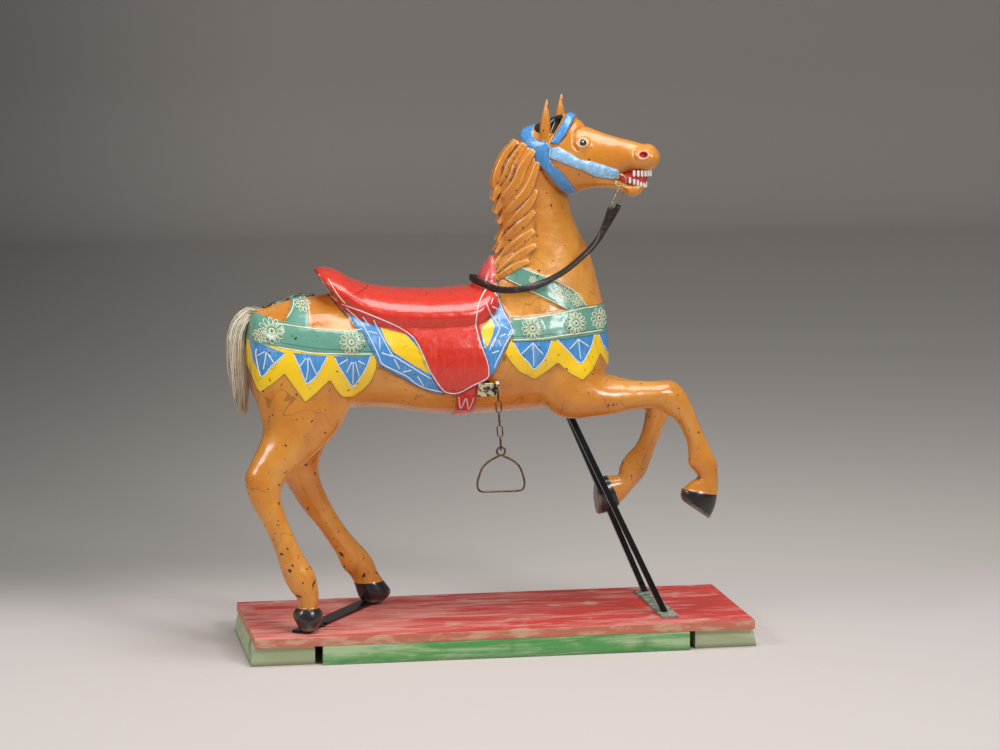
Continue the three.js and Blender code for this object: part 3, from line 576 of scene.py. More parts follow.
# Painted lines in the side view, warm cream on the harness and white on the cloth.
CREAM_LINES = [
      [(-489, 726), (-471, 725), (-424, 719), (-341, 711), (-304, 714)],
    [(-487, 679), (-442, 672), (-414, 667), (-343, 663), (-285, 661)],
    [(-436, 800), (-443, 764), (-462, 737)], [(-413, 800), (-412, 767), (-414, 727)],
    [(53, 834), (77, 824), (114, 811), (145, 796), (171, 779), (194, 750)],
    [(19, 810), (52, 795), (66, 787), (115, 763), (148, 746)],
    [(27, 725), (79, 730), (134, 737), (180, 745), (222, 747)],
    [(24, 684), (65, 684), (100, 686), (130, 690), (183, 694), (230, 696)],
]
WHITE_LINES = [
      [(-339, 764), (-303, 751), (-265, 735), (-234, 721), (-207, 705), (-190, 688), (-176, 660), (-162, 626),
     (-149, 604), (-134, 583), (-120, 572), (-96, 571), (-66, 587), (-36, 603), (-32, 621), (-37, 645),
     (-48, 676), (-55, 704), (-56, 732), (-49, 761), (-36, 779), (-22, 792)],
    [(-335, 757), (-307, 730), (-291, 702), (-270, 656), (-262, 639), (-229, 621), (-207, 609), (-192, 596),
     (-169, 583), (-131, 573)],
    [(-278, 732), (-266, 706), (-243, 661), (-230, 651), (-196, 629), (-157, 604)],
    [(-301, 739), (-288, 721)], [(-290, 709), (-272, 704)], [(-267, 697), (-268, 671)], [(-264, 663), (-240, 655)],
    [(-237, 649), (-225, 627)], [(-218, 620), (-200, 624)], [(-186, 610), (-172, 588)],
    [(-14, 793), (-8, 782), (2, 762), (8, 742), (19, 719), (23, 706), (21, 697), (12, 684), (3, 671),
     (-4, 657), (-12, 643), (-20, 624)],
    [(-32, 765), (-26, 747), (-15, 730), (-6, 712), (-6, 706), (-11, 696), (-21, 682), (-30, 663)],
    [(-15, 773), (-21, 760)], [(-18, 755), (2, 744)], [(-1, 736), (-5, 720)], [(0, 716), (14, 707)],
    [(-6, 692), (9, 697)], [(-14, 689), (-24, 670)], [(-9, 685), (-4, 671)], [(-25, 657), (-9, 662)],
    [(-528, 672), (-529, 655), (-520, 615), (-498, 640), (-471, 665)], [(-509, 667), (-516, 630)],
    [(-526, 658), (-512, 668)], [(-506, 664), (-495, 646)],
    [(-453, 664), (-441, 635), (-430, 607), (-425, 602), (-408, 616), (-394, 637), (-382, 658)],
    [(-427, 657), (-444, 636)], [(-424, 656), (-424, 631), (-428, 608)], [(-420, 657), (-414, 640), (-405, 620)],
    [(-365, 655), (-357, 637), (-342, 613), (-325, 591), (-307, 614), (-296, 635), (-288, 657)],
    [(-338, 651), (-356, 641)], [(-329, 645), (-340, 622)], [(-326, 645), (-325, 596)], [(-321, 645), (-312, 613)],
    [(-315, 647), (-300, 639)],
    [(25, 677), (40, 652), (58, 633), (71, 619), (91, 639), (101, 658), (109, 680)],
    [(67, 676), (42, 654)], [(67, 676), (69, 626)], [(67, 676), (90, 650)],
    [(122, 681), (147, 655), (174, 629), (191, 647), (203, 668), (209, 688)],
    [(170, 680), (149, 660)], [(170, 680), (174, 638)], [(170, 680), (195, 663)],
    [(220, 687), (231, 663), (243, 650)],
    [(-93, 560), (-84, 530), (-77, 556), (-66, 528), (-60, 558)],
]
SEAT_LINES = [[(-388, 826), (-379, 807), (-358, 776), (-340, 763)], [(-372, 820), (-355, 789), (-338, 768)]]
# Painted daisies: [x, z, radius, petals].
DAISIES = [(-329, 688, 25, 12), (-496, 711, 26, 12), (-424, 766, 17, 9), (67, 707, 24, 12), (165, 715, 24, 12),
           (224, 721, 22, 10), (138, 779, 20, 10), (172, 765, 15, 8), (75, 808, 8, 6), (-519, 700, 14, 8)]
# Places where the paint is knocked off: [x, y, z, radius].
CHIPS = [(244, -125, 533, 7), (236, -123, 536, 5), (-33, -116, 592, 6), (202, -112, 603, 4), (-464, -155, 211, 4),
         (-447, -150, 160, 5), (-468, -160, 300, 4), (-330, 130, 250, 5), (120, -120, 520, 4), (-120, -115, 545, 4),
         (452, -110, 470, 4), (-20, -120, 575, 9), (-290, -110, 470, 4), (-505, -150, 330, 4)]


# ---------------------------------------------------------------- the carved body
BODY_GRID = Grid((-575, -180, 50), (505, 180, 1125), 4.0)


def body_field():
    grid = BODY_GRID
    x, y, z = grid.axes()
    side_x, side_z = np.meshgrid(x, z, indexing="ij")
    field = melt(grid.distance(*limb(TORSO)), grid.distance(*limb(NECK)), 34)
    for rows in (on_right(HIND_RIGHT), HIND_LEFT):
        field = melt(field, grid.distance(*limb(rows)), 26)
    for rows in (on_right(FORE_RIGHT), FORE_LEFT):
        field = melt(field, grid.distance(*limb(rows)), 22)
    for rows in HOOVES.values():
        field = melt(field, grid.distance(*limb(rows, 28)), 3)
    rise = np.zeros_like(side_x)
    for outline, height, soft in RELIEF:
        rise = np.maximum(rise, height * step(-outline_distance(outline, side_x, side_z), -soft, soft * 0.4))
    for spot_x, spot_z, radius in ROSETTES:
        away = np.hypot(side_x - spot_x, side_z - spot_z)
        rise = np.maximum(rise, 6.5 * step(-away, -radius - 1, 3 - radius))
    field = field - rise[:, None, :].astype(np.float32)
    bed = 6 * step(-outline_distance(MANE_BED, side_x, side_z), -6, 6)
    field -= bed[:, None, :].astype(np.float32) * (0.5 + 0.5 * (y < 0))[None, :, None]
    seat = grid.distance(*limb(SEAT))
    horn = grid.distance(*limb(POMMEL))
    field = melt(melt(field, seat, 6), horn, 8)
    X, Y, Z = np.meshgrid(x, y, z, indexing="ij", sparse=True)
    for side in (-1, 1):
        field = cut(field, capsule(X, Y, Z, (69, side * 64, 1052), (68, side * 66, 1014), 6), 5)
    return field, np.minimum(seat, 60), np.minimum(horn, 60)


def hoof_side(rows, points):
    """How far outside a hoof's coronet plane points lie, and large away from that hoof."""
    top, sole = np.array(rows[0], float), np.array(rows[-1], float)
    centre = np.array([(top[0] + top[2]) / 2, top[5], (top[1] + top[3]) / 2])
    edge = np.array([top[0] - top[2], 0, top[1] - top[3]])
    edge /= np.linalg.norm(edge)
    normal = np.array([-edge[2], 0, edge[0]])
    away = np.array([(sole[0] + sole[2]) / 2, sole[5], (sole[1] + sole[3]) / 2]) - centre
    if normal @ away < 0:
        normal = -normal
    depth = (points - centre) @ normal
    near = np.linalg.norm(points - centre - away / 2, axis=1)
    return np.where(near < 75, -depth, 40.0)


# ---------------------------------------------------------------- the head
HEAD_GRID = Grid((30, -75, 960), (395, 75, 1225), 2.2, 16)


def turned(points):
    """Points of the straight head, turned to the horse's right."""
    points = np.array(points, float)
    turn = math.radians(HEAD_TURN)
    x, y = points[:, 0] - POLL_X, points[:, 1].copy()
    points[:, 0] = POLL_X + x * math.cos(turn) + y * math.sin(turn)
    points[:, 1] = y * math.cos(turn) - x * math.sin(turn)
    return points


def ellipse(x, z, half_x, half_z, tilt=0, count=16):
    a = 2 * math.pi * np.arange(count + 1) / count
    u, v = half_x * np.cos(a), half_z * np.sin(a)
    t = math.radians(tilt)
    return np.stack([x + u * math.cos(t) - v * math.sin(t), z + u * math.sin(t) + v * math.cos(t)], axis=1)


def head_field():
    grid = HEAD_GRID
    x, y, z = grid.axes()
    side_x, side_z = np.meshgrid(x, z, indexing="ij")
    skull = melt(grid.distance(*limb(HEAD)), grid.distance(*limb(JAW)), 6)
    rise = np.zeros_like(side_x)
    for outline in (CROWN_STRAP, CHEEK_STRAP, BROW_BAND):
        rise = np.maximum(rise, 3 * step(-outline_distance(outline, side_x, side_z), -1.5, 1))
    cheek = outline_distance(CHEEK_STRAP, side_x, side_z)
    for (ax, az), (bx, bz) in zip(PUFFS, PUFFS[1:]):
        along = ((side_x - ax) * (bx - ax) + (side_z - az) * (bz - az)) / ((bx - ax)**2 + (bz - az)**2)
        swell = np.sqrt(np.clip(4 * along * (1 - along), 0, 1)) * step(-cheek, -1, 7)
        rise = np.maximum(rise, np.where((along > 0) & (along < 1), 1.5 + 4.5 * swell, 0) * (cheek < 1))
    away = np.hypot(side_x - ROUNDEL[0], side_z - ROUNDEL[1])
    rise = np.maximum(rise, 6.0 * step(-away, -11, -9) - 2.5 * np.exp(-((away - 6) / 1.8)**2))
    lids = stroke_distance([ellipse(EYE[0], EYE[2], 13, 9.5, -8)], side_x, side_z)
    socket = np.hypot((side_x - EYE[0]) / 27, (side_z - EYE[2] + 1) / 23)
    rise = rise + 3.2 * step(-socket, -1, -0.2) + 2.4 * np.exp(-(lids / 2.4)**2)
    rim = stroke_distance([ellipse(NOSTRIL[0] + 1, NOSTRIL[2], 12, 8.5, 30)], side_x, side_z)
    rise = rise + 2.6 * np.exp(-(rim / 3.0)**2)
    groove = stroke_distance(HEAD_CREASES, side_x, side_z)
    rise = rise - 3.0 * np.exp(-(groove / 2.2)**2)
    field = skull - rise[:, None, :].astype(np.float32)
    X, Y, Z = np.meshgrid(x, y, z, indexing="ij", sparse=True)
    for side in (-1, 1):
        field = cut(field, capsule(X, Y, Z, (141, side * 34, 1128), (148, side * 24, 1150), 9), 4)
    ears = np.full(grid.shape, 60, np.float32)
    for ex, ey, lift in EARS.values():
        rows = [[a + ex, b + lift, c + ex, d + lift, w, ey] for a, b, c, d, w, _ in EAR]
        ear = grid.distance(*limb(rows, 24))
        ear = cut(ear, capsule(X, Y, Z, (ex + 15, ey, 1128 + lift), (ex + 9, ey, 1182 + lift), 5.5), 2)
        ears = np.minimum(ears, ear)
    field = melt(field, ears, 4)
    for side in (-1, 1):
        ball = np.sqrt(((X - NOSTRIL[0] - 1) / 1.25)**2 + ((Y - side * (NOSTRIL[1] + 2)) / 1.3)**2
                       + ((Z - NOSTRIL[2]) / 0.85)**2)
        field = cut(field, (ball - 7.5).astype(np.float32), 2.5)
        socket = np.sqrt((X - EYE[0])**2 / 1.3 + (Y - side * (EYE[1] + 6))**2 + (Z - EYE[2])**2 / 0.8)
        field = cut(field, (socket - 8).astype(np.float32), 2)
    return field, ears


# ---------------------------------------------------------------- mane
MANE_GRID = Grid((-50, -125, 780), (120, 115, 1130), 2.4, 8)


def neck_side(x, z):
    """How far out the neck's side is."""
    rows = NECK_ROWS
    row = rows[min(np.searchsorted(rows[:, 3], z), len(rows) - 1)]
    across = (2 * x - row[0] - row[2]) / (row[0] - row[2])
    return row[4] * math.sqrt(max(0.1, 1 - across * across))


def mane_lock(points, width=1.0, out=0.0, shift=0.0, side=-1, sides=30, ridges=5, depth=11):
    """One swirling lock, tapered at both ends, with grooves along it."""
    rows = blend_rows([[*p] for p in points], 8)
    rings = []
    for i, (x, z, half) in enumerate(rows):
        before, after = rows[max(i - 1, 0)], rows[min(i + 1, len(rows) - 1)]
        along = np.array([after[0] - before[0], after[1] - before[1]])
        along /= np.linalg.norm(along)
        across = np.array([-along[1], along[0]])
        x, z = x + across[0] * shift * half, z + across[1] * shift * half
        half *= width
        base = neck_side(x, z) + out * min(1, half / 8)
        angle = 2 * math.pi * np.arange(sides) / sides
        groove = 1 + 0.09 * np.cos(ridges * angle + 0.5)
        reach = half * np.cos(angle) * groove
        high = min(depth, 1.1 * half) * np.sin(angle) * groove
        rings.append(np.stack([x + across[0] * reach, side * (base + high), z + across[1] * reach], axis=1))
    return sweep(rings)


# ---------------------------------------------------------------- materials
def srgb(r, g, b):
    def lin(v):
        v /= 255
        return v / 12.92 if v <= 0.04045 else ((v + 0.055) / 1.055) ** 2.4
    return (lin(r), lin(g), lin(b), 1.0)


class Shader:
    """A material's node tree, with short calls for the nodes used here."""

    def __init__(self, name, roughness=0.5, metallic=0.0, coat=0.0):
        self.material = bpy.data.materials.new(name)
        self.material.use_nodes = True
        self.tree = self.material.node_tree
        self.tree.nodes.clear()
        self.surface = self.tree.nodes.new("ShaderNodeBsdfPrincipled")
        output = self.tree.nodes.new("ShaderNodeOutputMaterial")
        self.tree.links.new(self.surface.outputs["BSDF"], output.inputs["Surface"])
        self.surface.inputs["Roughness"].default_value = roughness
        self.surface.inputs["Metallic"].default_value = metallic
        self.surface.inputs["Coat Weight"].default_value = coat
        self.surface.inputs["Coat Roughness"].default_value = 0.12

    def put(self, socket, value):
        if hasattr(value, "is_linked"):
            self.tree.links.new(value, socket)
        else:
            socket.default_value = value

    def math(self, operation, a, b=0.0):
        node = self.tree.nodes.new("ShaderNodeMath")
        node.operation = operation
        self.put(node.inputs[0], a)
        self.put(node.inputs[1], b)
        return node.outputs[0]

    def attribute(self, name):
        node = self.tree.nodes.new("ShaderNodeAttribute")
        node.attribute_name = name
        return node.outputs["Fac"]

    def geometry(self, output="Position", axis=None):
        value = self.tree.nodes.new("ShaderNodeNewGeometry").outputs[output]
        if axis is None:
            return value
        split = self.tree.nodes.new("ShaderNodeSeparateXYZ")
        self.tree.links.new(value, split.inputs[0])
        return split.outputs[axis]

    def noise(self, scale, detail=4.0, roughness=0.55, stretch=(1, 1, 1), distortion=0.0):
        mapping = self.tree.nodes.new("ShaderNodeMapping")
        mapping.inputs["Scale"].default_value = stretch
        self.tree.links.new(self.geometry(), mapping.inputs["Vector"])
        node = self.tree.nodes.new("ShaderNodeTexNoise")
        node.inputs["Scale"].default_value = scale
        node.inputs["Detail"].default_value = detail
        node.inputs["Roughness"].default_value = roughness
        node.inputs["Distortion"].default_value = distortion
        self.tree.links.new(mapping.outputs[0], node.inputs["Vector"])
        return node.outputs["Fac"]

    def ramp(self, value, low, high, out_low=0.0, out_high=1.0):
        node = self.tree.nodes.new("ShaderNodeMapRange")
        node.interpolation_type = "SMOOTHSTEP"
        self.put(node.inputs["Value"], value)
        if low > high:
            low, high, out_low, out_high = high, low, out_high, out_low
        node.inputs["From Min"].default_value = low
        node.inputs["From Max"].default_value = high
        node.inputs["To Min"].default_value = out_low
        node.inputs["To Max"].default_value = out_high
        return node.outputs["Result"]

    def mix(self, factor, a, b):
        node = self.tree.nodes.new("ShaderNodeMix")
        node.data_type = "RGBA"
        self.put(node.inputs["Factor"], factor)
        self.put(next(i for i in node.inputs if i.name == "A" and i.type == "RGBA"), a)
        self.put(next(i for i in node.inputs if i.name == "B" and i.type == "RGBA"), b)
        return next(o for o in node.outputs if o.type == "RGBA")

    def inside(self, name, edge=0.35):
        """1 inside a painted area, 0 outside, from its signed distance."""
        return self.ramp(self.attribute(name), edge, -edge)

    def band(self, value, low, high, soft=0.4):
        """1 between two values."""
        return self.math("MULTIPLY", self.ramp(value, low - soft, low + soft), self.ramp(value, high + soft, high - soft))

    def bump(self, height, distance, strength=1.0):
        node = self.tree.nodes.new("ShaderNodeBump")
        node.inputs["Distance"].default_value = distance
        node.inputs["Strength"].default_value = strength
        self.put(node.inputs["Height"], height)
        self.tree.links.new(node.outputs["Normal"], self.surface.inputs["Normal"])

    def color(self, value):
        self.put(self.surface.inputs["Base Color"], value)
        return self.material


OCHRE = srgb(204, 126, 34)
OCHRE_LIGHT = srgb(224, 154, 60)
OCHRE_DARK = srgb(150, 74, 16)
RED = srgb(214, 44, 24)
RED_PALE = srgb(232, 96, 66)
PINK = srgb(226, 92, 92)
YELLOW = srgb(250, 205, 16)
BLUE = srgb(66, 140, 204)
BLUE_PALE = srgb(146, 196, 236)
SAGE = srgb(98, 154, 134)
CREAM = srgb(240, 232, 196)
WHITE = srgb(226, 234, 242)
BLACK = srgb(20, 18, 18)
DARK = srgb(48, 24, 12)


def carved_paint(name, layers, edges=(), chips=True):
    """Gloss enamel on carved wood: areas in order, painted shadow lines just outside the raised edges, cracks, grime
    and painted shade in hollows, wear and painted highlight on ridges, then chips.
    """
    s = Shader(name, roughness=0.3, coat=0.55)
    color = s.mix(s.ramp(s.noise(7, 4), 0.35, 0.68), OCHRE, OCHRE_LIGHT)
    color = s.mix(s.ramp(s.noise(26, 5, stretch=(1, 1, 0.4)), 0.56, 0.75, 0, 0.35), color, OCHRE_DARK)
    strokes = s.noise(210, 3, stretch=(1, 1, 0.07))
    for key, paint, pale in layers:
        area = s.mix(s.ramp(strokes, 0.5, 0.72, 0, 0.4), paint, pale)
        color = s.mix(s.inside(key), color, area)
    # Painted shadow: a dark line just outside each raised edge listed in edges, standing in for the shade under the
    # step.
    for key in edges:
        color = s.mix(s.math("MULTIPLY", s.band(s.attribute(key), 0.1, 1.5, 0.6), 0.75), color, DARK)
    cracks = s.math("ABSOLUTE", s.math("SUBTRACT", s.noise(5.5, 3, 0.5, (1, 1, 0.7), 0.4), 0.5))
    cracked = s.math("MULTIPLY", s.ramp(cracks, 0.004, 0.001, 0, 0.4), s.ramp(s.noise(4, 2), 0.46, 0.56))
    color = s.mix(cracked, color, DARK)
    # Grime and painted shade: hollows of the carving darken toward DARK. Wear and painted highlight: ridges lighten
    # toward a pale cream.
    cavity = s.attribute("cavity")
    color = s.mix(s.ramp(cavity, 0.1, 0.5, 0, 0.8), color, DARK)
    color = s.mix(s.ramp(cavity, -0.25, -0.9, 0, 0.22), color, srgb(250, 214, 170))
    if chips:
        low = s.ramp(s.geometry("Position", 2), 0.75, 0.05, 0.0, 0.05)
        specks = s.math("ADD", s.noise(95, 2), low)
        color = s.mix(s.ramp(specks, 0.7, 0.72), color, DARK)
        color = s.mix(s.inside("chip", 0.8), color, BLACK)
    s.bump(s.noise(40, 5), 0.0026, 0.6)
    return s.color(color)


def worn(name, base, patch, scale, low, high, roughness=0.5, metallic=0.0, coat=0.0, bump=0.0006,
         stretch=(1, 1, 1), third=None):
    """Two or three tones in patches, with a matching bump."""
    s = Shader(name, roughness, metallic, coat)
    tone = s.noise(scale, 6, 0.65, stretch)
    color = s.mix(s.ramp(tone, low, high), base, patch)
    if third:
        color = s.mix(s.ramp(s.noise(scale * 2.3, 5, 0.6, stretch), 0.56, 0.7), color, third)
    s.bump(tone, bump, 0.6)
    return s.color(color)


def plank_paint():
    s = Shader("plank_paint", 0.55)
    strokes = s.noise(30, 6, 0.7, (0.16, 1, 1), 0.6)
    pale = s.math("ADD", strokes, s.ramp(s.geometry("Position", 0), 0.25, -0.5, -0.05, 0.07))
    top = s.mix(s.ramp(pale, 0.4, 0.62), srgb(206, 62, 54), srgb(228, 150, 138))
    top = s.mix(s.ramp(s.noise(14, 5), 0.6, 0.72, 0, 0.5), top, srgb(226, 196, 180))
    edge = s.mix(s.ramp(s.noise(60, 5, 0.6, (0.25, 1, 1)), 0.45, 0.62), srgb(196, 112, 88), srgb(206, 160, 130))
    color = s.mix(s.ramp(s.geometry("Normal", 2), 0.4, 0.8), edge, top)
    s.bump(strokes, 0.0008, 0.5)
    return s.color(color)


def board_paint(name, base, pale):
    s = Shader(name, 0.7)
    grain = s.noise(42, 6, 0.7, (0.1, 1, 1), 0.4)
    color = s.mix(s.ramp(grain, 0.42, 0.64), base, pale)
    color = s.mix(s.ramp(s.noise(9, 4), 0.58, 0.7, 0, 0.7), color, srgb(70, 130, 60))
    color = s.mix(s.ramp(s.geometry("Position", 2), 0.012, 0.0, 0, 0.5), color, srgb(70, 66, 50))
    s.bump(grain, 0.0008, 0.6)
    return s.color(color)


# ---------------------------------------------------------------- pieces
def keep(piece, slot, *nodes):
    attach(piece, "root")
    if nodes:
        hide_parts(*nodes)
    return piece


class Cast:
    """Finds the carving's skin along a line."""

    def __init__(self, *skins):
        self.trees = [BVHTree.FromPolygons(skin.points.tolist(), skin.quads.tolist()) for skin in skins]

    def side(self, x, z, side):
        best = None
        for tree in self.trees:
            at, normal, _, far = tree.ray_cast(Vector((x, side * 400, z)), Vector((0, -side, 0)))
            if at is not None and (best is None or far < best[2]):
                best = (np.array(at), np.array(normal), far)
        return best


def ribbon(cast, line, side, width=2.8, lift=0.7, smooth=True):
    """A painted line that lies on the skin, from its course in the side view."""
    line = even_line(line, 3.0, smooth)
    tangents = np.gradient(line, axis=0)
    tangents /= np.maximum(np.linalg.norm(tangents, axis=1), 1e-9)[:, None]
    rings = []
    for (x, z), (tx, tz) in zip(line, tangents):
        spots = [cast.side(x - tz * w, z + tx * w, side) for w in (-width / 2, 0, width / 2)]
        if any(spot is None for spot in spots):
            continue
        (a, _, _), (b, normal, _), (c, _, _) = spots
        if np.linalg.norm(a - c) > 4 * width:
            continue
        normal = normal if normal[1] * side > 0 else -normal
        rings.append([a, b + normal * lift, c, b - normal * 1.2])
    return [sweep(rings)] if len(rings) > 2 else []


def petals(x, z, radius, count):
    """Closed loops of a daisy, and the rings at its heart."""
    loops = []
    for k in range(count):
        a = 2 * math.pi * k / count
        d = math.pi / count * 0.72
        loops.append([(x + r * radius * math.cos(a + t * d), z + r * radius * math.sin(a + t * d))
                      for r, t in ((0.38, 0.5), (0.7, 1.0), (0.93, 0.7), (1.0, 0), (0.93, -0.7), (0.7, -1), (0.38, -0.5))])
    return loops, ellipse(x, z, 0.2 * radius, 0.2 * radius, count=10)


def build_horse():
    field, seat, horn = body_field()
    body = BODY_GRID.surface(field)
    body.roughen([(0.55, 34, 1), (0.3, 13, 2)])
    points = body.points
    x, y, z = points.T
    values = {key: outline_distance(outline, x, z) for key, outline in PAINT.items()}
    values["rump_blue"] = np.min([outline_distance(o, x, z) for o in RUMP_BLUE], axis=0)
    values["breast_blue"] = np.min([outline_distance(o, x, z) for o in BREAST_BLUE], axis=0)
    values["hoof"] = np.min([hoof_side(rows, points) for rows in HOOVES.values()], axis=0)
    values["seat"] = BODY_GRID.at(seat, points) - 2.5
    values["horn"] = BODY_GRID.at(horn, points) - 2.5
    values["flap"] = melt(values["flap"], values["seat"], 30)
    # The cavity measure feeds the paint's darkened hollows (grime and painted shade) and lightened ridges (wear and
    # painted highlight); it is weaker on the saddle flap.
    values["cavity"] = body.cavity() * np.where(values["flap"] < 0, 0.3, 1.0)
    ragged = 2.5 * value_noise(points, 6, 5)
    values["chip"] = np.min([np.linalg.norm(points - np.array(c[:3]), axis=1) - c[3] for c in CHIPS], axis=0) + ragged
    layers = [("rump_yellow", YELLOW, YELLOW), ("breast_yellow", YELLOW, YELLOW), ("rump_blue", BLUE, BLUE_PALE),
              ("breast_blue", BLUE, BLUE_PALE), ("rump_band", SAGE, SAGE), ("hip_strap", SAGE, SAGE),
              ("breast_band", SAGE, SAGE), ("shoulder_strap", SAGE, SAGE), ("cloth", BLUE, BLUE_PALE),
              ("lens_rear", YELLOW, YELLOW), ("lens_front", YELLOW, YELLOW), ("girth", RED, RED_PALE),
              ("flap", RED, RED_PALE), ("seat", RED, RED_PALE), ("horn", PINK, RED_PALE), ("hoof", BLACK, DARK)]
    # These raised outlines get a painted shadow line just outside their edges.
    edges = ("flap", "cloth", "rump_yellow", "breast_yellow", "girth", "shoulder_strap", "breast_band")
    shown = add_mesh("horse_body", points, body.quads, carved_paint("carved_paint", layers, edges), attributes=values)
    keep(shown, "carved_paint", "horse")

    field, ears = head_field()
    head = HEAD_GRID.surface(field)
    head.roughen([(0.3, 20, 3)])
    x, y, z = head.points.T
    values = {key: outline_distance(outline, x, z) for key, outline in HEAD_PAINT.items()}
    ear = HEAD_GRID.at(ears, head.points)
    values["hollow"] = np.where(ear < 1.5, 9.0, values["hollow"])
    away = np.hypot((x - NOSTRIL[0] - 1) / 1.25, (z - NOSTRIL[2]) / 0.85)
    side = np.abs(y) > 12
    values["nostril_rim"] = np.where(side, away - 11.5, 20)
    values["nostril"] = np.where(side, away - 8.0, 20)
    values["eyelid"] = np.where(side, np.hypot((x - EYE[0]), (z - EYE[2]) / 0.72) - 12.5, 20)
    values["mouth"] = np.where(np.abs(y) < 19, np.hypot((x - 312) / 2.5, z - 1030) - 11, 20)
    values["cavity"] = head.cavity()
    values["chip"] = np.full(len(x), 20.0)
    layers = [("hollow", BLACK, BLACK), ("crown_strap", BLUE, BLUE_PALE), ("brow_band", BLUE, BLUE_PALE),
              ("cheek_strap", BLUE_PALE, WHITE), ("nostril_rim", srgb(232, 170, 140), CREAM), ("nostril", RED, RED),
              ("eyelid", srgb(226, 176, 140), CREAM), ("mouth", srgb(190, 60, 60), PINK)]
    # The head's straps get the same painted shadow line outside their edges.
    shown = add_mesh("horse_head", turned(head.points), head.quads,
                     carved_paint("head_paint", layers, ("crown_strap", "cheek_strap", "brow_band")), attributes=values)
    keep(shown, "carved_paint")

    mane_parts = []
    for lock in LOCKS:
        mane_parts.append(mane_lock(lock))
        mane_parts.append(mane_lock(lock, 0.42, 5, 0.42, ridges=3))
        mane_parts.append(mane_lock(lock, 0.38, 5, -0.38, ridges=3))
        mane_parts.append(mane_lock(lock, 0.9, -6, 0, side=1))
    field = None
    for part in mane_parts:
        one = MANE_GRID.distance(*part)
        field = one if field is None else melt(field, one, 1.2)
    mane = MANE_GRID.surface(field)
    # The mane's cavity is made stronger, so the grooves between its locks take more grime and painted shade.
    values = {"cavity": mane.cavity(1) * 1.8, "chip": np.full(len(mane.points), 20.0)}
    keep(add_mesh("horse_mane", mane.points, mane.quads, carved_paint("mane_paint", []), attributes=values),
         "carved_paint")
    return body, head


def build_lines(body):
    cast = Cast(body)
    cream, white, dark = [], [], []
    for side in (-1, 1):
        for line in CREAM_LINES:
            cream += ribbon(cast, line, side, 2.6)
        for line in WHITE_LINES:
            white += ribbon(cast, line, side, 2.6, smooth=len(line) > 4)
        for line in SEAT_LINES:
            cream += ribbon(cast, line, side, 2.4)
        for x, z, radius, count in DAISIES:
            loops, heart = petals(x, z, radius, count)
            for loop in loops:
                cream += ribbon(cast, loop, side, 1.7, 0.9)
            cream += ribbon(cast, heart, side, 3.4, 1.6)
            dark += ribbon(cast, ellipse(x, z, 1.2, 1.2, count=8), side, 2.6, 1.8)
    for name, parts, color in (("lines_cream", cream, CREAM), ("lines_white", white, WHITE), ("daisy_hearts", dark, BLACK)):
        points, faces = joined(parts)
        keep(add_mesh(name, points, faces, worn(name + "_paint", color, color[:3] + (1,), 90, 0.4, 0.6, 0.4,
                                                third=tuple(0.8 * v for v in color[:3]) + (1,))), "carved_paint")
    crupper = []
    for x in np.linspace(-505, -394, 24):
        at, normal, _, _ = cast.trees[0].ray_cast(Vector((x, 0, 803)), Vector((0, 0, -1)))
        crupper.append([[x, -9, at.z - 3], [x, -8, at.z + 3.4], [x, 8, at.z + 3.4], [x, 9, at.z - 3]])
    points, faces = sweep(crupper)
    keep(add_mesh("crupper", points, faces, worn("crupper_paint", DARK, SAGE, 60, 0.45, 0.6, 0.4, third=CREAM)),
         "carved_paint")


def sphere(centre, radius, rings=16, sides=24, squash=(1, 1, 1)):
    angles = np.linspace(0.02, math.pi - 0.02, rings)
    around = 2 * math.pi * np.arange(sides) / sides
    rows = [np.stack([centre[0] + squash[0] * radius * math.sin(a) * np.cos(around),
                      centre[1] + squash[1] * radius * math.sin(a) * np.sin(around),
                      centre[2] + squash[2] * radius * math.cos(a) + 0 * around], axis=1) for a in angles]
    return sweep(rows)


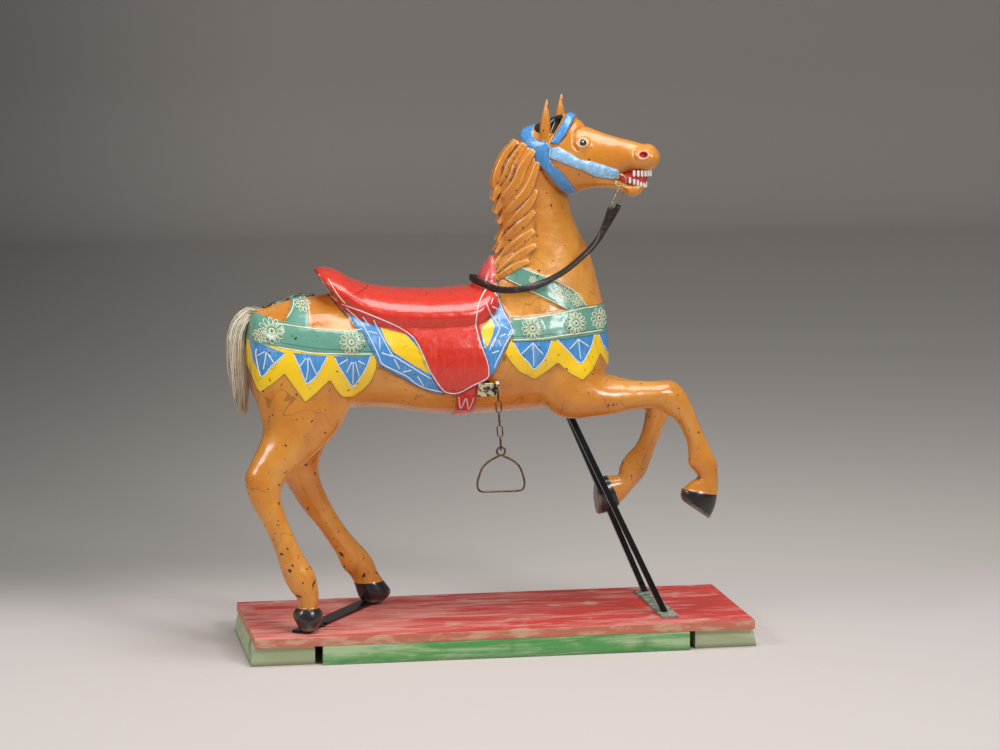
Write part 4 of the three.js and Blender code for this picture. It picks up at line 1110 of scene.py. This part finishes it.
def build_face():
    eyes, pupils, glints = [], [], []
    for side in (-1, 1):
        y = side * (EYE[1] - 3.5)
        eyes.append(sphere((EYE[0], y, EYE[2]), 10, squash=(1.15, 0.9, 0.8)))
        pupils.append(sphere((EYE[0] + 1, y + side * 4.6, EYE[2]), 7.4, squash=(1.1, 0.75, 1)))
        # Painted highlight: a small white ball beside each pupil stands in for the catchlight.
        glints.append(sphere((EYE[0] + 2, y + side * 9.6, EYE[2] + 1.5), 1.9, 8, 12))
    for name, parts, paint in (("eye_whites", eyes, worn("eye_white", CREAM, PINK, 120, 0.5, 0.7, 0.2)),
                               ("eye_pupils", pupils, worn("eye_dark", BLACK, DARK, 120, 0.5, 0.7, 0.08, coat=0.8)),
                               ("eye_glints", glints, worn("eye_glint", WHITE, CREAM, 90, 0.5, 0.7, 0.2))):
        points, faces = joined(parts)
        keep(add_mesh(name, turned(points), faces, paint), "carved_paint")
    teeth = []
    for upper in (True, False):
        for k in range(12):
            t = (k - 5.5) / 6
            reach, wide = (353, 23) if upper else (343, 19)
            x, y = reach - 36 * abs(t)**1.7, wide * math.sin(t * math.pi / 2)
            z = 1039.5 if upper else 1024 - 9 * (x - 312) / 30
            high = 6.5
            rows = [(x - 3.4, z - high * 0.9), (x - 3.6, z), (x - 3.4, z + high)]
            rings = []
            for h, w in ((-high, 2.3), (-high * 0.6, 3.1), (high * 0.6, 3.0), (high, 2.4)):
                a = 2 * math.pi * (np.arange(8) + 0.5) / 8
                rings.append(np.stack([x + w * np.cos(a), y + w * np.sin(a), z + h + 0 * a], axis=1))
            teeth.append(sweep(rings))
    points, faces = joined(teeth)
    keep(add_mesh("teeth", turned(points), faces, worn("teeth_paint", srgb(240, 236, 226), srgb(228, 190, 180), 60,
                                                       0.55, 0.7, 0.25)), "carved_paint")
    gum = limb([[288, 1042, 288, 1014, 16, 0], [312, 1043, 312, 1012, 18, 0], [334, 1043, 334, 1012, 16, 0],
                [344, 1041, 344, 1013, 9, 0]], 20, 4)
    keep(add_mesh("mouth", turned(gum[0]), outward(*gum), worn("gum_paint", srgb(196, 52, 48), PINK, 60, 0.5, 0.7, 0.3)),
         "carved_paint")


def build_tail():
    """Horsehair: tapered strands that follow the tuft's course."""
    path = blend_rows(TAIL, 3)
    random = np.random.default_rng(11)
    parts, shades = [], []
    for _ in range(620):
        radius, angle = math.sqrt(random.uniform(0, 1)), random.uniform(0, 2 * math.pi)
        u, v = radius * math.cos(angle), radius * math.sin(angle)
        stop = random.uniform(0.72, 1.0)
        wave, phase = random.uniform(0.8, 4.6), random.uniform(0, 6)
        fly = 1 + (0.35 if random.uniform() < 0.12 else 0)
        shade = random.uniform(0, 1)
        rings = []
        for i in np.linspace(0, stop * (len(path) - 1), 13):
            k = min(int(i), len(path) - 2)
            x, z, r = path[k] + (path[k + 1] - path[k]) * (i - k)
            along = path[k + 1][:2] - path[k][:2]
            along /= np.linalg.norm(along)
            t = i / (len(path) - 1)
            spread = max(r, 10 if t > 0.5 else 4) * (0.55 + 0.5 * t) * fly
            dx, dz = along[1] * spread * u, -along[0] * spread * u
            dx += wave * math.sin(phase + 7 * t)
            y = spread * v + wave * math.cos(phase + 6 * t)
            thick = 1.5 * (1 - 0.75 * t)
            rings.append([[x + dx + thick * math.cos(q), y + thick * math.sin(q), z + dz + thick * math.sin(q) * 0.3]
                          for q in (0, 2.1, 4.2)])
        parts.append(sweep(rings))
        shades += [shade] * len(parts[-1][0])
    points, faces = joined(parts)
    s = Shader("tail_hair", 0.55)
    color = s.mix(s.attribute("shade"), srgb(214, 194, 156), srgb(250, 244, 230))
    color = s.mix(s.ramp(s.noise(30, 3), 0.6, 0.75, 0, 0.5), color, srgb(176, 140, 92))
    keep(add_mesh("tail_strands", points, faces, s.color(color), attributes={"shade": shades}), "tail_hair", "tail")


def tube(path, radius, closed=False, sides=10):
    """A round wire along points in drawing millimetres."""
    path = np.asarray(path, float)
    before, after = (np.roll(path, 1, 0), np.roll(path, -1, 0)) if closed else (
        np.vstack([path[:1], path[:-1]]), np.vstack([path[1:], path[-1:]]))
    along = after - before
    along /= np.linalg.norm(along, axis=1)[:, None]
    rings = []
    across = np.cross(along[0], (0.31, 0.52, 0.79))
    for at, tangent in zip(path, along):
        across = across - (across @ tangent) * tangent
        across /= np.linalg.norm(across)
        other = np.cross(tangent, across)
        rings.append([at + radius * (math.cos(q) * across + math.sin(q) * other)
                      for q in 2 * math.pi * np.arange(sides) / sides])
    return sweep(rings, closed)


def build_wires():
    """Bit rings, snap hooks and stirrup, from round wire."""
    metal = worn("nickel", srgb(196, 176, 130), srgb(110, 90, 60), 160, 0.5, 0.7, 0.28, 0.95, stretch=(1, 1, 1))
    iron = worn("stirrup_iron", srgb(124, 96, 76), srgb(66, 50, 42), 140, 0.45, 0.65, 0.42, 0.85)
    turn = math.radians(HEAD_TURN)
    out = np.array([math.sin(turn), math.cos(turn), 0])
    ahead = np.array([math.cos(turn), -math.sin(turn), 0])
    up = np.array([0, 0, 1.0])
    for side, name in ((-1, "right"), (1, "left")):
        centre = turned([[294, side * 35, 1024.5]])[0]
        a = 2 * math.pi * np.arange(40) / 40
        ring = [centre + 13 * (math.cos(q) * ahead + math.sin(q) * up) for q in a]
        points, faces = tube(ring, 2.0, True)
        keep(add_mesh("bit_ring_wire_" + name, points, faces, metal), "nickel", "bit_ring_" + name)
        top = centre - 13 * up
        drop = np.array([-16.5, 0, -35.5])
        down = drop / np.linalg.norm(drop)
        facing = np.cross(down, out)
        facing /= np.linalg.norm(facing)
        across = np.cross(facing, down)
        loop = [top + drop + 4.5 * (math.cos(q) * across + math.sin(q) * down) for q in np.linspace(0, math.pi, 12)]
        loop += [top + 4.5 * (math.cos(q) * across + math.sin(q) * down)
                 for q in np.linspace(math.pi, 2 * math.pi, 12)]
        parts = [tube(loop, 1.3, True), tube([top + drop * 0.42 - 4 * across, top + drop * 0.45 + 4 * across], 1.1)]
        points, faces = joined(parts)
        keep(add_mesh("snap_wire_" + name, points, faces, metal), "nickel", "snap_hook_" + name)
    arm = [(4, 433), (24, 423), (40, 409), (49, 387), (52, 371), (50, 361), (45, 356.5), (34, 355), (0, 355)]
    course = [(x, z) for x, z in arm] + [(-x, z) for x, z in arm[-2::-1]]
    bow = np.array([(-5 + x, -131, z) for x, z in even_line(course, 5)])
    eye = [(-5 + 9 * math.cos(q), -131, 443 + 9 * math.sin(q)) for q in 2 * math.pi * np.arange(28) / 28]
    points, faces = joined([tube(bow, 2.3), tube(eye, 2.3, True)])
    keep(add_mesh("stirrup_wire", points, faces, iron), "stirrup_iron", "stirrup")
    return metal, iron


def softened(node, material, slot, bevel=1.2):
    """The solid of a node with its sharp edges eased."""
    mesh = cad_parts[node].data.copy()
    shape = bmesh.new()
    shape.from_mesh(mesh)
    bmesh.ops.remove_doubles(shape, verts=shape.verts, dist=1e-6)
    bmesh.ops.dissolve_limit(shape, angle_limit=math.radians(1), verts=shape.verts, edges=shape.edges)
    sharp = [e for e in shape.edges if len(e.link_faces) == 2 and e.calc_face_angle() > math.radians(25)]
    bmesh.ops.bevel(shape, geom=sharp, offset=bevel * MM, segments=2, affect="EDGES", profile=0.6)
    shape.to_mesh(mesh)
    shape.free()
    mesh.materials.clear()
    mesh.materials.append(material)
    piece = bpy.data.objects.new(node + "_shown", mesh)
    bpy.context.scene.collection.objects.link(piece)
    keep(piece, slot, node)


def dress_stand(iron):
    green = board_paint("board_green", srgb(86, 156, 84), srgb(172, 196, 150))
    pale = board_paint("batten_green", srgb(178, 192, 150), srgb(206, 206, 176))
    steel = worn("black_steel", srgb(20, 18, 17), srgb(84, 70, 60), 90, 0.62, 0.76, 0.32, 0.7, 0.3)
    plate = worn("worn_iron", srgb(120, 136, 124), srgb(196, 200, 180), 70, 0.42, 0.6, 0.5, 0.3, bump=0.001,
                 third=srgb(70, 72, 62))
    staple = worn("staple_iron", srgb(226, 214, 176), srgb(30, 26, 22), 85, 0.5, 0.58, 0.5, 0.1, bump=0.0015,
                  third=srgb(110, 120, 84))
    softened("plank", plank_paint(), "plank_paint", 1.6)
    for node in ("side_board_right", "side_board_left"):
        softened(node, green, "board_paint")
    for node in ("end_batten_rear", "end_batten_front"):
        softened(node, pale, "board_paint")
    for node in ("stand_bar_right", "stand_bar_left", "hoof_bar"):
        softened(node, steel, "black_steel", 0.9)
    softened("stand_foot_plate", plate, "worn_iron", 0.8)
    softened("staple_plate", staple, "worn_iron", 0.5)
    softened("stirrup_chain", iron, "stirrup_iron", 0.4)
    for k in (1, 2, 3, 4):
        softened(f"foot_bolt_{k}", plate, "worn_iron", 0.8)
    for k in (1, 2):
        softened(f"hoof_bolt_{k}", steel, "black_steel", 0.8)


# ---------------------------------------------------------------- the rein, the one free strap
REIN_WIDTH = 15.0
REIN_THICKNESS = 3.6


def build_rein():
    path = even_line(REIN_PATH, 5.9)
    tangents = np.gradient(path, axis=0)
    tangents /= np.linalg.norm(tangents, axis=1)[:, None]
    rings = []
    t, w = REIN_THICKNESS / 2, REIN_WIDTH / 2
    section = [(t, w - 1), (t, 1 - w), (t - 1, -w), (1 - t, -w), (-t, 1 - w), (-t, w - 1), (1 - t, w), (t - 1, w)]
    for i, (at, along) in enumerate(zip(path, tangents)):
        away = np.array([min(at[0], 0) / 40, np.clip(at[1] / 40, -1, 1), 0.0])
        if at[0] > 170 and i > 80:
            away = np.array([0.9, 0.45, 0.0])
        away -= (away @ along) * along
        away /= np.linalg.norm(away)
        across = np.cross(along, away)
        turn = math.radians(50) * float(step(i, 4, 16) * (1 - step(i, 34, 52)))
        away, across = away * math.cos(turn) + across * math.sin(turn), across * math.cos(turn) - away * math.sin(turn)
        rings.append([at + away * u + across * v for u, v in section])
    points, faces = sweep(rings)
    s = Shader("rein_leather", 0.42, coat=0.15)
    crease = s.noise(110, 6, 0.7)
    s.bump(crease, 0.0008, 0.8)
    leather = s.color(s.mix(s.ramp(crease, 0.55, 0.72), srgb(34, 22, 17), srgb(104, 74, 52)))
    rein = add_mesh("rein", points, outward(points, faces), leather)
    keep(rein, "rein_leather", "rein_strap")


# ---------------------------------------------------------------- room and light
def build_room():
    course = [(-6000, 0), (9000, 0)]
    course += [(9000 + 800 * math.sin(a), 800 - 800 * math.cos(a)) for a in np.linspace(0.08, math.pi / 2, 18)]
    course += [(9800, 7500)]
    points = [(x, y, z) for y, z in course for x in (-9000, 9000)]
    faces = [(2 * k, 2 * k + 1, 2 * k + 3, 2 * k + 2) for k in range(len(course) - 1)]
    s = Shader("studio_paper", 0.8)
    # Painted shade: the paper goes from the light floor tone to a darker tone between 0.35 m and 1.15 m behind the
    # stand, and that darker tone darkens further towards the left, standing in for the light's falloff.
    shaded_wall = s.mix(s.ramp(s.geometry("Position", 0), -1.6, 0.9), srgb(150, 146, 141), srgb(204, 198, 191))
    depth = s.math("ADD", s.geometry("Position", 1), s.math("MULTIPLY", s.noise(0.8, 2), 0.25))
    paper = s.color(s.mix(s.ramp(depth, 0.35, 1.15), srgb(212, 204, 200), shaded_wall))
    add_mesh("studio", points, faces, paper)
    world = bpy.data.worlds.new("world")
    world.use_nodes = True
    world.node_tree.nodes["Background"].inputs[0].default_value = (0.8, 0.79, 0.8, 1)
    world.node_tree.nodes["Background"].inputs[1].default_value = 0.30
    bpy.context.scene.world = world
    add_area("top", (300, -700, 3300), (0, 0, 300), 1.8, 66)
    add_area("key", (1900, -3900, 3100), (0, 0, 700), 1.1, 78)
    add_area("rim", (-2600, -1200, 2400), (0, 0, 600), 0.9, 30)


def add_area(name, at, to, size, power):
    data = bpy.data.lights.new(name, "AREA")
    data.shape = "SQUARE"
    data.size = size
    data.energy = power
    light = bpy.data.objects.new(name, data)
    light.location = place(at)
    aim = Vector(place(to)) - light.location
    light.rotation_euler = aim.to_track_quat("-Z", "Y").to_euler()
    bpy.context.scene.collection.objects.link(light)


build_rein()
horse_body, horse_head = build_horse()
build_lines(horse_body)
build_face()
build_tail()
nickel, stirrup_metal = build_wires()
dress_stand(stirrup_metal)
build_room()

bpy.context.scene.view_settings.view_transform = "Standard"
